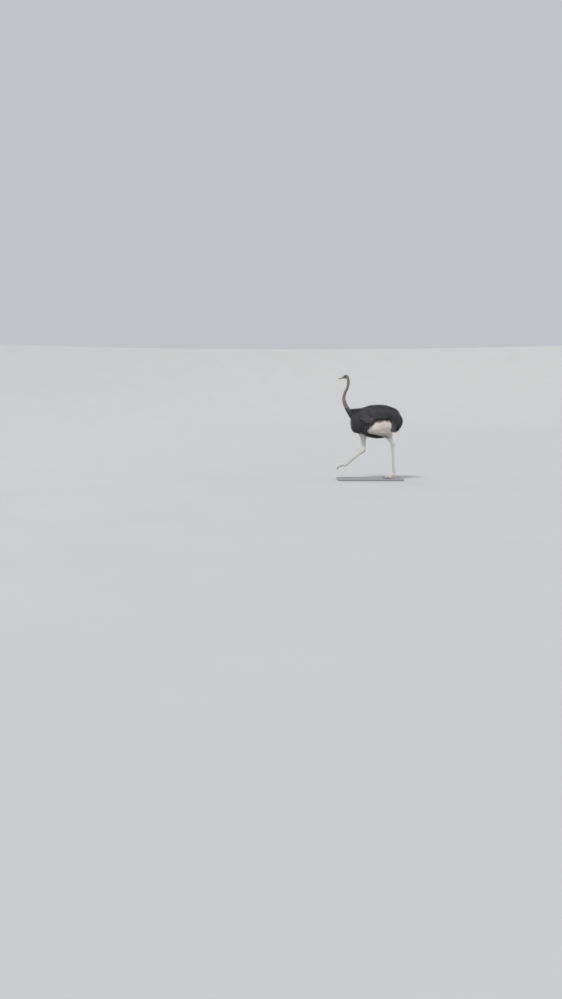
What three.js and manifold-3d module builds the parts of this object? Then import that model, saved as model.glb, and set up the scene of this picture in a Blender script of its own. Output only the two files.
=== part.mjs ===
// A life-size male ostrich in mid stride, on a plain flat base. Sizes are in millimetres.
// It faces -Y, its left side is +X and +Z is up. While the pieces are made, Z is 0 at the base's top.
import * as THREE from "three";
import { mergeVertices } from "three/addons/utils/BufferGeometryUtils.js";
import Module from "manifold-3d";

const wasm = await Module();
wasm.setup();

// Driving dimensions.
const GAP = 0.3; // clearance between neighbours
const BASE = { length: 1200, width: 570, thick: 30, corner: 70, edge: 5, centre: -50 };
const SHELL_SWELL = 1.16; // the folded wings stand out from the trunk by this share of its width
const HEAD = { y: -504, z: 1849, tilt: THREE.MathUtils.degToRad(9) };
const EYE = { radius: 18, x: 22.5, y: -12, z: 9 };
const NECK_JOINTS = [0.36, 0.68]; // where the neck's three lengths meet, as shares of its length
const FLOOR_Z = GAP; // the soles stay this much above the base's top

const FORWARD = new THREE.Vector3(0, -1, 0);
const DOWN = new THREE.Vector3(0, 0, -1);
const LEFT = new THREE.Vector3(1, 0, 0);

// Stations run along each body: [x, y, z of the axis, half width, then the half sizes above and below].
// "Above" is the way the axis' direction crossed with LEFT points: up on the trunk, forward on a leg.
const TRUNK = [
  [0, 486, 1105, 62, 78, 84],
  [0, 425, 1100, 140, 152, 178],
  [0, 330, 1095, 200, 205, 268],
  [0, 215, 1090, 236, 243, 330],
  [0, 90, 1085, 247, 261, 334],
  [0, -50, 1075, 240, 262, 316],
  [0, -180, 1065, 218, 238, 258],
  [0, -300, 1060, 186, 206, 233],
  [0, -372, 1046, 148, 180, 190],
  [0, -412, 1030, 92, 108, 118],
];
const NECK = [
  [0, -318, 1105, 84, 76, 88],
  [0, -392, 1178, 66, 62, 72],
  [0, -457, 1258, 49, 47, 53],
  [0, -506, 1340, 38, 38, 41],
  [0, -533, 1418, 32, 32, 34],
  [0, -535, 1493, 29, 29, 31],
  [0, -514, 1566, 27, 27.5, 29],
  [0, -479, 1638, 26, 26.5, 27],
  [0, -460, 1710, 26, 26.5, 27],
  [0, -458, 1773, 27, 28, 28],
  [0, -471, 1829, 28, 29, 29],
];
const TAIL = [
  [0, 330, 1165, 78, 70, 70],
  [0, 418, 1155, 112, 86, 82],
  [0, 466, 1080, 124, 78, 80],
  [0, 455, 985, 110, 70, 78],
  [0, 404, 905, 80, 44, 60],
  [0, 386, 858, 46, 30, 36],
];
const LEG = {
  left: [
    [112, 160, 1140, 70, 140, 150],
    [140, 155, 1060, 104, 198, 205],
    [152, 148, 1000, 112, 218, 214],
    [152, 122, 925, 110, 242, 238],
    [146, 117, 862, 98, 238, 232],
    [142, 122, 832, 92, 222, 224],
    [136, 164, 808, 80, 169, 180],
    [124, 238, 776, 64, 90, 108],
    [110, 286, 728, 50, 57, 67],
    [97, 314, 684, 39, 38, 50],
    [90, 340, 648, 32, 36, 38],
  ],
  right: [
    [-112, 90, 1140, 70, 170, 190],
    [-140, 45, 1060, 104, 250, 250],
    [-152, -17, 1000, 112, 262, 262],
    [-150, -59, 940, 108, 226, 226],
    [-142, -104, 880, 96, 174, 170],
    [-129, -138, 820, 76, 118, 112],
    [-116, -158, 760, 57, 72, 70],
    [-105, -162, 700, 44, 48, 48],
    [-98, -158, 640, 37, 41, 42],
    [-92, -155, 580, 33, 38, 38],
    [-88, -155, 520, 32, 36, 36],
  ],
};
// Where each leg's thigh and shank meet: a point of the cut, and its slope up towards the front.
const KNEE_CUT = {
  left: { at: [0, -118, 846], slope: 0.1 },
  right: { at: [0, -275, 905], slope: 0.16 },
};
const TARSUS = {
  left: [
    [89, 346, 688, 31, 34, 34],
    [87, 348, 655, 35, 43, 43],
    [84, 351, 612, 30, 34, 37],
    [79, 358, 545, 23, 26, 29],
    [70, 370, 360, 20.5, 23.5, 25],
    [63, 383, 185, 23, 25, 26],
    [61, 389, 125, 33, 30, 30],
    [60, 393, 92, 35, 27, 27],
  ],
  right: [
    [-88, -132, 538, 31, 33, 34],
    [-87, -156, 512, 35, 42, 42],
    [-85, -192, 484, 30, 34, 36],
    [-81, -245, 440, 23, 26, 29],
    [-73, -355, 350, 20.5, 23.5, 25],
    [-66, -452, 272, 23, 25, 26],
    [-63, -493, 240, 33, 30, 30],
    [-62, -516, 222, 34, 26, 26],
  ],
};
const TOES = {
  toe_inner_left: [
    [57, 392, 106, 30, 27, 26],
    [56, 352, 62, 30, 27, 30],
    [55, 300, 34, 30, 25, 36],
    [54, 248, 24, 27, 20, 26],
    [53, 216, 19, 19, 14, 20],
  ],
  toe_outer_left: [
    [86, 388, 98, 18, 19, 19],
    [97, 358, 58, 19, 20, 24],
    [108, 318, 28, 19, 18, 30],
    [116, 282, 17, 13, 11, 18],
  ],
  toe_inner_right: [
    [-60, -506, 238, 30, 26, 26],
    [-59, -552, 240, 29, 25, 28],
    [-58, -594, 229, 28, 23, 27],
    [-57, -624, 208, 25, 18, 23],
    [-57, -640, 186, 17, 12, 16],
  ],
  toe_outer_right: [
    [-89, -500, 234, 18, 18, 19],
    [-100, -537, 232, 19, 19, 22],
    [-110, -573, 217, 18, 17, 20],
    [-115, -598, 196, 11, 10, 13],
  ],
};
const CLAWS = {
  claw_inner_left: [
    [53, 232, 22, 13, 9, 12],
    [53, 206, 17, 10.5, 8, 10],
    [53, 180, 11, 5, 5, 6],
  ],
  claw_outer_left: [
    [114, 290, 19, 8, 6, 8],
    [118, 273, 13, 6, 5, 7],
    [120, 262, 9, 3, 3, 4],
  ],
  claw_inner_right: [
    [-57, -632, 196, 13, 9, 12],
    [-57, -646, 174, 10.5, 8, 9],
    [-57, -650, 148, 4.5, 4, 4],
  ],
  claw_outer_right: [
    [-114, -592, 203, 8, 6, 8],
    [-117, -604, 188, 6, 5, 6],
    [-118, -608, 176, 3, 3, 3],
  ],
};
// The head and bill, in the head's own frame: the origin is the middle of the skull.
const SKULL = [
  [0, 56, -12, 21, 20, 26],
  [0, 38, -4, 32, 31, 34],
  [0, 10, 1, 37, 36, 37],
  [0, -18, 2, 37, 34, 33],
  [0, -42, -2, 30, 25, 25],
  [0, -60, -6, 24, 17, 18],
];
const BILL_UPPER = [
  [0, -44, -9, 30, 27, 1],
  [0, -62, -10, 26.5, 22, 1],
  [0, -90, -14, 22.5, 17, 1],
  [0, -118, -18, 18.5, 14.5, 1.5],
  [0, -136, -22, 12, 10, 2.5],
  [0, -143, -25, 6, 6, 3],
];
const BILL_LOWER = [
  [0, -47, -12, 28, 1, 15],
  [0, -62, -13, 25, 1, 11],
  [0, -90, -17, 21, 1, 7],
  [0, -118, -21.5, 16.5, 1, 4.5],
  [0, -134, -26.5, 10, 1, 2.5],
];
// The folded wing's outline seen from the side, as [y, z], from its bend round over the back.
const WING_TOP = [
  [-262, 1085],
  [-235, 1170],
  [-120, 1238],
  [60, 1268],
  [240, 1248],
  [372, 1176],
  [408, 1096],
];
const WING_LOW = [
  [365, 1058],
  [220, 1064],
  [102, 1058],
  [58, 985],
  [22, 902],
  [-80, 930],
  [-192, 1000],
];

function mix(a, b, t) {
  return a + (b - a) * t;
}

// A smooth curve through rows of numbers, spaced by the distance between their first three.
function smoothRows(rows) {
  const spot = rows.map((row) => new THREE.Vector3(...row));
  const at = [0];
  for (let i = 1; i < rows.length; i++) {
    at.push(at[i - 1] + spot[i].distanceTo(spot[i - 1]));
  }
  const slope = rows.map((row, i) => {
    const a = Math.max(i - 1, 0);
    const b = Math.min(i + 1, rows.length - 1);
    return row.map((_, k) => (rows[b][k] - rows[a][k]) / (at[b] - at[a]));
  });
  return (t) => {
    const s = t * at[at.length - 1];
    let i = 0;
    while (i < rows.length - 2 && s > at[i + 1]) {
      i++;
    }
    const h = at[i + 1] - at[i];
    const u = (s - at[i]) / h;
    const rise = u * u * (3 - 2 * u);
    return rows[i].map((value, k) => {
      const bendOut = slope[i][k] * h * u * (1 - u) * (1 - u);
      const bendIn = slope[i + 1][k] * h * u * u * (u - 1);
      return mix(value, rows[i + 1][k], rise) + bendOut + bendIn;
    });
  };
}

function toSolid(geometry) {
  const bare = geometry.clone();
  bare.deleteAttribute("normal");
  bare.deleteAttribute("uv");
  const merged = mergeVertices(bare, 1e-3);
  return new wasm.Manifold(
    new wasm.Mesh({
      numProp: 3,
      vertProperties: merged.attributes.position.array,
      triVerts: new Uint32Array(merged.index.array),
    }),
  );
}

function toGeometry(body) {
  const made = body.getMesh();
  const geometry = new THREE.BufferGeometry();
  geometry.setAttribute("position", new THREE.BufferAttribute(made.vertProperties, 3));
  geometry.setIndex(new THREE.BufferAttribute(made.triVerts, 1));
  geometry.computeVertexNormals();
  return geometry;
}

// A closed body with an oval section that follows its stations. Its sections stand square to `facing`,
// or to the axis itself where that isn't given. `caps` are the lengths over which its two ends round off.
function loft(rows, { around, along, caps = [0, 0], facing, grow = 0, swell = 1, square = 2 }) {
  const row = smoothRows(rows);
  const length = rows.slice(1).reduce((sum, here, i) => {
    return sum + new THREE.Vector3(...here).distanceTo(new THREE.Vector3(...rows[i]));
  }, 0);
  const geometry = new THREE.CylinderGeometry(1, 1, 1, around, along);
  const place = geometry.attributes.position;
  const bothRound = caps[0] > 0 && caps[1] > 0;
  for (let i = 0; i < place.count; i++) {
    const even = 0.5 - place.getY(i);
    const t = bothRound ? mix(even, (1 - Math.cos(Math.PI * even)) / 2, 0.55) : even;
    const [x, y, z, wide, above, below] = row(t);
    const ahead = new THREE.Vector3(...row(Math.min(t + 1e-3, 1)));
    const heading = facing ? facing.clone() : ahead.sub(new THREE.Vector3(...row(Math.max(t - 1e-3, 0))));
    const up = heading.cross(LEFT).normalize();
    const rounding = [t, 1 - t].map((from, end) => {
      const part = caps[end] > 0 ? Math.min((from * length) / caps[end], 1) : 1;
      return Math.max(Math.sqrt(1 - (1 - part) * (1 - part)), 0.16);
    });
    const size = rounding[0] * rounding[1];
    const angle = Math.atan2(place.getZ(i), place.getX(i));
    const reach = Math.hypot(place.getX(i), place.getZ(i)) > 0.5 ? 1 : 0;
    const across = Math.sign(Math.cos(angle)) * Math.abs(Math.cos(angle)) ** (2 / square);
    const over = Math.sign(Math.sin(angle)) * Math.abs(Math.sin(angle)) ** (2 / square);
    const sideways = reach * across * (wide * swell + grow) * size;
    const upwards = reach * over * ((over > 0 ? above : below) + grow) * size;
    const spot = new THREE.Vector3(x, y, z).addScaledVector(LEFT, sideways).addScaledVector(up, upwards);
    place.setXYZ(i, spot.x, spot.y, spot.z);
  }
  return geometry;
}

// Cuts a body in two across a plane, with a gap; the first piece is the one its normal points to.
function part(body, point, normal) {
  const n = normal.clone().normalize();
  const level = n.dot(new THREE.Vector3(...point));
  return [
    body.trimByPlane(n.toArray(), level + GAP / 2),
    body.trimByPlane(n.negate().toArray(), -level + GAP / 2),
  ];
}

function trunkBody(grow = 0, swell = 1) {
  const shape = { around: 24, along: 14, caps: [40, 40], facing: FORWARD, square: 2.15, grow, swell };
  return toSolid(loft([...TRUNK], shape));
}

function legFlesh(side, grow = 0) {
  return toSolid(loft(LEG[side], { around: 16, along: 14, facing: DOWN, square: 2.1, grow }));
}

function tarsusBody(side, grow = 0) {
  return toSolid(loft(TARSUS[side], { around: 12, along: 12, caps: [34, 16], grow }));
}

function toeBody(name, grow = 0) {
  return toSolid(loft(TOES[name], { around: 10, along: 7, caps: [14, 16], square: 2.3, grow }));
}

function neckBody(grow = 0) {
  return toSolid(loft(NECK, { around: 14, along: 24, grow }));
}

function tailBody() {
  return toSolid(loft(TAIL, { around: 16, along: 9, caps: [30, 26] }));
}

const headPlace = new THREE.Matrix4()
  .makeTranslation(0, HEAD.y, HEAD.z)
  .multiply(new THREE.Matrix4().makeRotationX(HEAD.tilt));

function headPiece(rows, shape) {
  return toSolid(loft(rows, { ...shape, facing: FORWARD }).applyMatrix4(headPlace));
}

function eyeBall(side, grow = 0) {
  const ball = new THREE.SphereGeometry(EYE.radius + grow, 12, 8);
  ball.rotateZ(Math.PI / 2);
  ball.translate(side * EYE.x, EYE.y, EYE.z);
  return toSolid(ball.applyMatrix4(headPlace));
}

// The wing is what lies between the trunk and a wider copy of it, inside the wing's outline.
function wingBody(side, thigh, trunk) {
  const outline = new THREE.Shape();
  const corners = [...WING_TOP, ...WING_LOW].map(([y, z]) => new THREE.Vector2(y, z));
  outline.moveTo(corners[0].x, corners[0].y);
  outline.splineThru([...corners.slice(1), corners[0]]);
  const slab = new THREE.ExtrudeGeometry(outline, { depth: 400, bevelEnabled: false, curveSegments: 3 });
  slab.applyMatrix4(new THREE.Matrix4().set(0, 0, 1, 0, 1, 0, 0, 0, 0, 1, 0, 0, 0, 0, 0, 1));
  slab.translate(side > 0 ? 20 : -420, 0, 0);
  const shell = trunkBody(GAP, SHELL_SWELL);
  return shell.intersect(toSolid(slab)).subtract(trunk).subtract(thigh);
}

function baseBody() {
  const x = BASE.width / 2 - BASE.edge;
  const y = BASE.length / 2 - BASE.edge;
  const r = BASE.corner;
  const outline = new THREE.Shape();
  outline.moveTo(-x + r, -y);
  outline.lineTo(x - r, -y);
  outline.absarc(x - r, -y + r, r, -Math.PI / 2, 0);
  outline.lineTo(x, y - r);
  outline.absarc(x - r, y - r, r, 0, Math.PI / 2);
  outline.lineTo(-x + r, y);
  outline.absarc(-x + r, y - r, r, Math.PI / 2, Math.PI);
  outline.lineTo(-x, -y + r);
  outline.absarc(-x + r, -y + r, r, Math.PI, Math.PI * 1.5);
  const rim = { bevelEnabled: true, bevelThickness: BASE.edge, bevelSize: BASE.edge, bevelSegments: 1 };
  const plate = new THREE.ExtrudeGeometry(outline, {
    depth: BASE.thick - 2 * BASE.edge,
    curveSegments: 5,
    ...rim,
  });
  plate.translate(0, BASE.centre, -BASE.thick + BASE.edge);
  return toSolid(plate);
}

// The largest body of a cut piece: slivers that a cut leaves elsewhere are dropped.
function main(body) {
  return body.decompose().reduce((best, piece) => (piece.volume() > best.volume() ? piece : best));
}

const FINISH = {
  plumage: { color: 0x1f1f22, roughness: 0.85 },
  skin: { color: 0xb5aa9c, roughness: 0.65 },
  neck: { color: 0x8a8078, roughness: 0.8 },
  shin: { color: 0xcfc8ba, roughness: 0.55 },
  bill: { color: 0xb3a88f, roughness: 0.45 },
  claw: { color: 0x4b443b, roughness: 0.4 },
  eye: { color: 0x24160e, roughness: 0.1 },
  base: { color: 0x84868a, roughness: 0.6 },
};

const ostrich = new THREE.Group();

function add(name, body, finish) {
  const look = new THREE.MeshStandardMaterial({ ...FINISH[finish], metalness: 0 });
  const mesh = new THREE.Mesh(toGeometry(main(body)), look);
  mesh.name = name;
  ostrich.add(mesh);
}

const trunk = trunkBody();
const trunkGrown = trunkBody(GAP);
const sides = { left: 1, right: -1 };
const legGrown = { left: legFlesh("left", GAP), right: legFlesh("right", GAP) };

// Head: the skull with its two sockets, the eyes in them and the closed bill.
const skullShape = { around: 16, along: 10, caps: [16, 0] };
const billUpper = headPiece(BILL_UPPER, { around: 12, along: 7, caps: [0, 8] });
const billLower = headPiece(BILL_LOWER, { around: 12, along: 6, caps: [0, 8] });
const skull = headPiece(SKULL, skullShape)
  .subtract(eyeBall(1, GAP))
  .subtract(eyeBall(-1, GAP))
  .subtract(headPiece(BILL_UPPER, { around: 12, along: 7, grow: GAP }))
  .subtract(headPiece(BILL_LOWER, { around: 12, along: 6, grow: GAP }));
add("head", skull, "neck");
add("bill_upper", billUpper, "bill");
add("bill_lower", billLower.subtract(headPiece(BILL_UPPER, { around: 12, along: 7, grow: GAP })), "bill");
add("eye_left", eyeBall(1), "eye");
add("eye_right", eyeBall(-1), "eye");

// Neck: three lengths, cut square to its curve.
let rest = neckBody().subtract(headPiece(SKULL, { ...skullShape, grow: GAP })).subtract(trunkGrown);
const neckRow = smoothRows(NECK);
["neck_lower", "neck_middle"].forEach((name, i) => {
  const t = NECK_JOINTS[i];
  const along = new THREE.Vector3(...neckRow(t + 1e-3)).sub(new THREE.Vector3(...neckRow(t - 1e-3)));
  const [above, below] = part(rest, neckRow(t).slice(0, 3), along);
  add(name, below, "neck");
  rest = above;
});
add("neck_upper", rest, "neck");

// Trunk, wings and tail, all in their plumage.
add("trunk", trunk.subtract(legGrown.left).subtract(legGrown.right), "plumage");
add("tail", tailBody().subtract(trunkGrown).subtract(legGrown.left).subtract(legGrown.right), "plumage");
for (const [name, side] of Object.entries(sides)) {
  add("wing_" + name, wingBody(side, legGrown[name], trunkGrown), "plumage");
}

// Legs, from thigh to claws.
const ground = new THREE.Vector3(0, 0, 1);
for (const name of Object.keys(sides)) {
  const { at, slope } = KNEE_CUT[name];
  const flesh = legFlesh(name).subtract(tarsusBody(name, GAP));
  const [thigh, shank] = part(flesh, at, new THREE.Vector3(0, slope, 1));
  add("thigh_" + name, thigh, "skin");
  add("shank_" + name, shank, "skin");
  const inner = toeBody("toe_inner_" + name, GAP);
  const outer = toeBody("toe_outer_" + name, GAP);
  add("tarsus_" + name, tarsusBody(name).subtract(inner).subtract(outer), "shin");
  for (const digit of ["inner", "outer"]) {
    const key = digit + "_" + name;
    const toe = toeBody("toe_" + key);
    const clear = digit === "outer" ? toe.subtract(inner) : toe;
    const claw = (grow) => toSolid(loft(CLAWS["claw_" + key], { around: 8, along: 4, caps: [0, 10], grow }));
    add("toe_" + key, clear.subtract(claw(GAP)).trimByPlane(ground.toArray(), FLOOR_Z), "shin");
    add("claw_" + key, claw(0).trimByPlane(ground.toArray(), FLOOR_Z), "claw");
  }
}

add("stand_base", baseBody(), "base");

// The origin is below the middle of the whole part, on the base's underside.
const bounds = new THREE.Box3().setFromObject(ostrich);
const middle = bounds.getCenter(new THREE.Vector3());
ostrich.position.set(-middle.x, -middle.y, -bounds.min.z);

export default ostrich;
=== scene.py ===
# A life-size male ostrich in mid stride on a plain base: one skin over its flesh, and plumes over the skin.
# The tables are in millimetres in the bird's own frame: it faces -Y, its left is +X, the base's top is Z 0.
import math
from collections import namedtuple

import bmesh
import bpy
import numpy as np
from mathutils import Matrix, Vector, kdtree
from mathutils.bvhtree import BVHTree


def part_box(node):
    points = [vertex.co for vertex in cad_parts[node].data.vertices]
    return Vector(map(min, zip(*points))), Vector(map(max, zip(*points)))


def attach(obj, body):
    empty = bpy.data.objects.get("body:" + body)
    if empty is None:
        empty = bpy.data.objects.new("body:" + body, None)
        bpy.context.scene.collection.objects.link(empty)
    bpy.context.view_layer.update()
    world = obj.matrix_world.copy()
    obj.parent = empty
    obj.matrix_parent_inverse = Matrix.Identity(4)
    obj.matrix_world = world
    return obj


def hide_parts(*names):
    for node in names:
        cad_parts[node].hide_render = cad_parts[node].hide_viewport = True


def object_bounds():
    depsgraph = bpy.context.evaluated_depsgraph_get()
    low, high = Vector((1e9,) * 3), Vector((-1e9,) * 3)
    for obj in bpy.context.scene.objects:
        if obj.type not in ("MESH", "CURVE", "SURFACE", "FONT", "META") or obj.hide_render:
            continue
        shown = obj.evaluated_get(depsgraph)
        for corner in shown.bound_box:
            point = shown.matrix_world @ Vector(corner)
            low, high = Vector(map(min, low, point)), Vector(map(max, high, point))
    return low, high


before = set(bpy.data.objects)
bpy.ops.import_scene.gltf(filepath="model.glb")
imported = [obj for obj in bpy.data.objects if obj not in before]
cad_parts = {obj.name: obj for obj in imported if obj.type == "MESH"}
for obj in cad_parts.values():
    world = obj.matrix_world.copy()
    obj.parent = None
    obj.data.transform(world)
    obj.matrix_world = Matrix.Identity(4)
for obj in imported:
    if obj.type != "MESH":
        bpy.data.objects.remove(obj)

CAD_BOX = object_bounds()
BASE_LO, BASE_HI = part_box("stand_base")
BASE_CENTRE = -50  # the base's middle along Y in the bird's frame
SHIFT = np.array([0.0, (BASE_LO.y + BASE_HI.y) / 2 - BASE_CENTRE / 1000, BASE_HI.z])
MM = 0.001
TURN = 2 * np.pi
SIDES = {"left": 1, "right": -1}
LEFT, FORWARD = np.array([1.0, 0.0, 0.0]), np.array([0.0, -1.0, 0.0])
REARWARD, DOWN = np.array([0.0, 1.0, 0.0]), np.array([0.0, 0.0, -1.0])

# The coat's depth over the skin at the trunk's and the neck's stations, and by how much less at the belly.
TRUNK_DEPTHS = [30, 42, 46, 46, 46, 46, 44, 40, 36, 28]
NECK_DEPTHS = [26, 20, 12, 6, 4, 3.5, 3.5, 3.5, 3.5, 3.5, 3]
BELLY_FILL = [0, 0, 4, 14, 18, 14, 4, 0, 0, 0]
VOXEL = 0.0049  # of the skin's mesh, in metres
THINNED = 0.86  # of the faces of the skin that plumes hide
HEAD_REACH = 62  # from the skull's middle to the end of the finer mesh
SHELL_SWELL = 1.16  # the folded wings reach out to this share of the trunk's width
# In metres: past COAT_SIDE the coat is pressed in, so that it never stands out more than COAT_PROUD further.
COAT_SIDE, COAT_PROUD = 0.278, 0.030
SOLE_GAP = 0.3  # between the soles and the base
THINNEST = 7  # no flesh is thinner than this on each side of its axis
BARE_TOP = 1100  # the thighs are bare below this height
HEM = 1262  # the black plumes reach this far up the neck
CAMERA_AT, CAMERA_PITCH = (15000, -1684, 1270), math.radians(6.34)

# Stations: [x, y, z of the axis, half width, half size above, half size below].
TRUNK = [
    [0, 486, 1105, 62, 78, 84],
    [0, 425, 1100, 140, 152, 178],
    [0, 330, 1095, 200, 205, 268],
    [0, 215, 1090, 236, 243, 330],
    [0, 90, 1085, 247, 261, 334],
    [0, -50, 1075, 240, 262, 316],
    [0, -180, 1065, 218, 238, 258],
    [0, -300, 1060, 186, 206, 233],
    [0, -372, 1046, 148, 180, 190],
    [0, -412, 1030, 92, 108, 118],
]
NECK = [
    [0, -318, 1105, 84, 76, 88],
    [0, -392, 1178, 66, 62, 72],
    [0, -457, 1258, 49, 47, 53],
    [0, -506, 1340, 38, 38, 41],
    [0, -533, 1418, 32, 32, 34],
    [0, -535, 1493, 29, 29, 31],
    [0, -514, 1566, 27, 27.5, 29],
    [0, -479, 1638, 26, 26.5, 27],
    [0, -460, 1710, 26, 26.5, 27],
    [0, -458, 1773, 27, 28, 28],
    [0, -471, 1829, 28, 29, 29],
]
TAIL = [
    [0, 330, 1165, 78, 70, 70],
    [0, 418, 1155, 112, 86, 82],
    [0, 466, 1080, 124, 78, 80],
    [0, 455, 985, 110, 70, 78],
    [0, 404, 905, 80, 44, 60],
    [0, 386, 858, 46, 30, 36],
]
STATIONS = np.array(TRUNK)[:, 1]  # along the trunk, from the tail to the breast
RUMP = [[0, 300, 1130, 70, 60, 60], [0, 380, 1148, 62, 40, 42], [0, 432, 1140, 40, 20, 24]]
LEG = {
    "left": [
        [112, 160, 1140, 70, 140, 150],
        [140, 155, 1060, 104, 198, 205],
        [152, 148, 1000, 112, 218, 214],
        [152, 122, 925, 110, 242, 238],
        [146, 117, 862, 98, 238, 232],
        [142, 122, 832, 92, 222, 224],
        [136, 164, 808, 80, 169, 180],
        [124, 238, 776, 64, 90, 108],
        [110, 286, 728, 50, 57, 67],
        [97, 314, 684, 39, 38, 50],
        [90, 340, 648, 32, 36, 38],
    ],
    "right": [
        [-112, 90, 1140, 70, 170, 190],
        [-140, 45, 1060, 104, 250, 250],
        [-152, -17, 1000, 112, 262, 262],
        [-150, -59, 940, 108, 226, 226],
        [-142, -104, 880, 96, 174, 170],
        [-129, -138, 820, 76, 118, 112],
        [-116, -158, 760, 57, 72, 70],
        [-105, -162, 700, 44, 48, 48],
        [-98, -158, 640, 37, 41, 42],
        [-92, -155, 580, 33, 38, 38],
        [-88, -155, 520, 32, 36, 36],
    ],
}
KNEE_CUT = {"left": (-118, 846, 0.1), "right": (-275, 905, 0.16)}  # y, z and slope of the fold
TARSUS = {
    "left": [
        [89, 346, 688, 31, 34, 34],
        [87, 348, 655, 35, 43, 43],
        [84, 351, 612, 30, 34, 37],
        [79, 358, 545, 23, 26, 29],
        [70, 370, 360, 20.5, 23.5, 25],
        [63, 383, 185, 23, 25, 26],
        [61, 389, 125, 33, 30, 30],
        [60, 393, 92, 35, 27, 27],
    ],
    "right": [
        [-88, -132, 538, 31, 33, 34],
        [-87, -156, 512, 35, 42, 42],
        [-85, -192, 484, 30, 34, 36],
        [-81, -245, 440, 23, 26, 29],
        [-73, -355, 350, 20.5, 23.5, 25],
        [-66, -452, 272, 23, 25, 26],
        [-63, -493, 240, 33, 30, 30],
        [-62, -516, 222, 34, 26, 26],
    ],
}
TOES = {
    "inner_left": [
        [57, 392, 106, 30, 27, 26],
        [56, 352, 62, 30, 27, 30],
        [55, 300, 34, 30, 25, 36],
        [54, 248, 24, 27, 20, 26],
        [53, 216, 19, 19, 14, 20],
    ],
    "outer_left": [
        [86, 388, 98, 18, 19, 19],
        [97, 358, 58, 19, 20, 24],
        [108, 318, 28, 19, 18, 30],
        [116, 282, 17, 13, 11, 18],
    ],
    "inner_right": [
        [-60, -506, 238, 30, 26, 26],
        [-59, -552, 240, 29, 25, 28],
        [-58, -594, 229, 28, 23, 27],
        [-57, -624, 208, 25, 18, 23],
        [-57, -640, 186, 17, 12, 16],
    ],
    "outer_right": [
        [-89, -500, 234, 18, 18, 19],
        [-100, -537, 232, 19, 19, 22],
        [-110, -573, 217, 18, 17, 20],
        [-115, -598, 196, 11, 10, 13],
    ],
}
CLAWS = {
    "inner_left": [[53, 236, 22, 12, 8, 10], [53, 206, 17, 10.5, 8, 9], [53, 182, 11, 4, 4, 5]],
    "outer_left": [[114, 292, 18, 7, 5, 7], [118, 273, 13, 6, 5, 6], [120, 263, 9, 2.5, 2.5, 3]],
    "inner_right": [[-57, -630, 198, 12, 8, 11], [-57, -646, 174, 10.5, 8, 9], [-57, -650, 150, 4, 4, 4]],
    "outer_right": [[-114, -591, 204, 7, 5, 7], [-117, -604, 188, 6, 5, 6], [-118, -608, 177, 2.5, 2.5, 2.5]],
}
# The head, in its own frame: the origin is the middle of the skull.
HEAD_AT, HEAD_TILT = (0, -504, 1849), math.radians(9)
EYE_RADIUS, EYE_AT = 18, (22.5, -12, 9)
LID_HALF = (math.radians(56), math.radians(41))  # half the opening between the lids, along and down
UPPER_LID = 0.84  # the upper lid stands open by this share of the lower one
SKULL = [
    [0, 56, -12, 21, 20, 26],
    [0, 38, -4, 32, 31, 34],
    [0, 10, 1, 37, 36, 37],
    [0, -18, 2, 37, 34, 33],
    [0, -42, -2, 30, 25, 25],
    [0, -60, -6, 24, 17, 18],
]
BILL_UPPER = [
    [0, -28, -8, 15, 13, 1],
    [0, -42, -9, 24.5, 21.5, 1],
    [0, -52, -9.6, 27.2, 23.8, 1],
    [0, -62, -10, 26.5, 22, 1],
    [0, -90, -14, 22.5, 17, 1],
    [0, -118, -18, 18.5, 14.5, 1.5],
    [0, -136, -22, 12, 10, 2.5],
    [0, -143, -25, 6, 6, 3],
]
BILL_LOWER = [
    [0, -28, -10, 14, 1, 8],
    [0, -42, -11, 23, 1, 11.5],
    [0, -52, -11.6, 25.6, 1, 12.6],
    [0, -64, -12.4, 24.6, 1.2, 11],
    [0, -90, -16.2, 21, 1.2, 7.6],
    [0, -118, -20.6, 17, 1.2, 5],
    [0, -134, -25.6, 10.5, 1.2, 3],
]
# The flesh of the folded wing on the left flank, from its rear to its bend.
ARM = [
    [196, 300, 1128, 8, 24, 22],
    [216, 190, 1150, 18, 44, 40],
    [224, 40, 1160, 24, 54, 50],
    [214, -110, 1145, 22, 50, 46],
    [190, -215, 1105, 12, 30, 30],
]
# The folded wing from the side, as [y, z]: the line that its plumes grow from and the line that they reach.
WING_ROOTS = [[-252, 1092], [-222, 1160], [-120, 1222], [40, 1252], [190, 1240], [300, 1200], [352, 1160]]
WING_TIPS = [
    [-214, 1060], [-150, 1030], [-104, 1028], [-66, 1042], [-16, 1100], [80, 1124], [230, 1130], [384, 1136],
]
WING_SWEEP = 0.20  # how far along the wing each plume lies back from its root
WING_BOW = np.array([26.0, 20.0])  # how far in y and z each bows rearwards and up on the way

# A plume's barbs: their half widths at the root and the bends as shares, how far they turn and sink at each
# bend, how unlike each other they are, and the share of the shaft that has none.
BARB_WIDTHS = (0.8, 1.0, 0.8)
BARB_CURL, BARB_DROOP, BARB_LOOSE, BARE_SHAFT = 0.14, 0.24, 0.18, 0.06
LONG_BARB = 0.0023  # the thickness of the barbs of long plumes, in metres

# The skin's regions, which its points carry as labels.
ON_TRUNK, ON_NECK, ON_HEAD, ON_LEG, ON_TARSUS, ON_TOE = REGIONS = range(6)


def place(points):
    """Points of the bird's frame, in millimetres, in the row frame in metres."""
    return np.asarray(points, float) * MM + SHIFT


def unplace(points):
    """Points of the row frame in metres, in the bird's frame in millimetres."""
    return (np.asarray(points, float) - SHIFT) / MM


def from_head(points):
    """Points of the head's frame in the bird's frame."""
    c, s = math.cos(HEAD_TILT), math.sin(HEAD_TILT)
    x, y, z = np.moveaxis(np.asarray(points, float), -1, 0)
    return np.stack([x, y * c - z * s, y * s + z * c], -1) + np.array(HEAD_AT)


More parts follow.
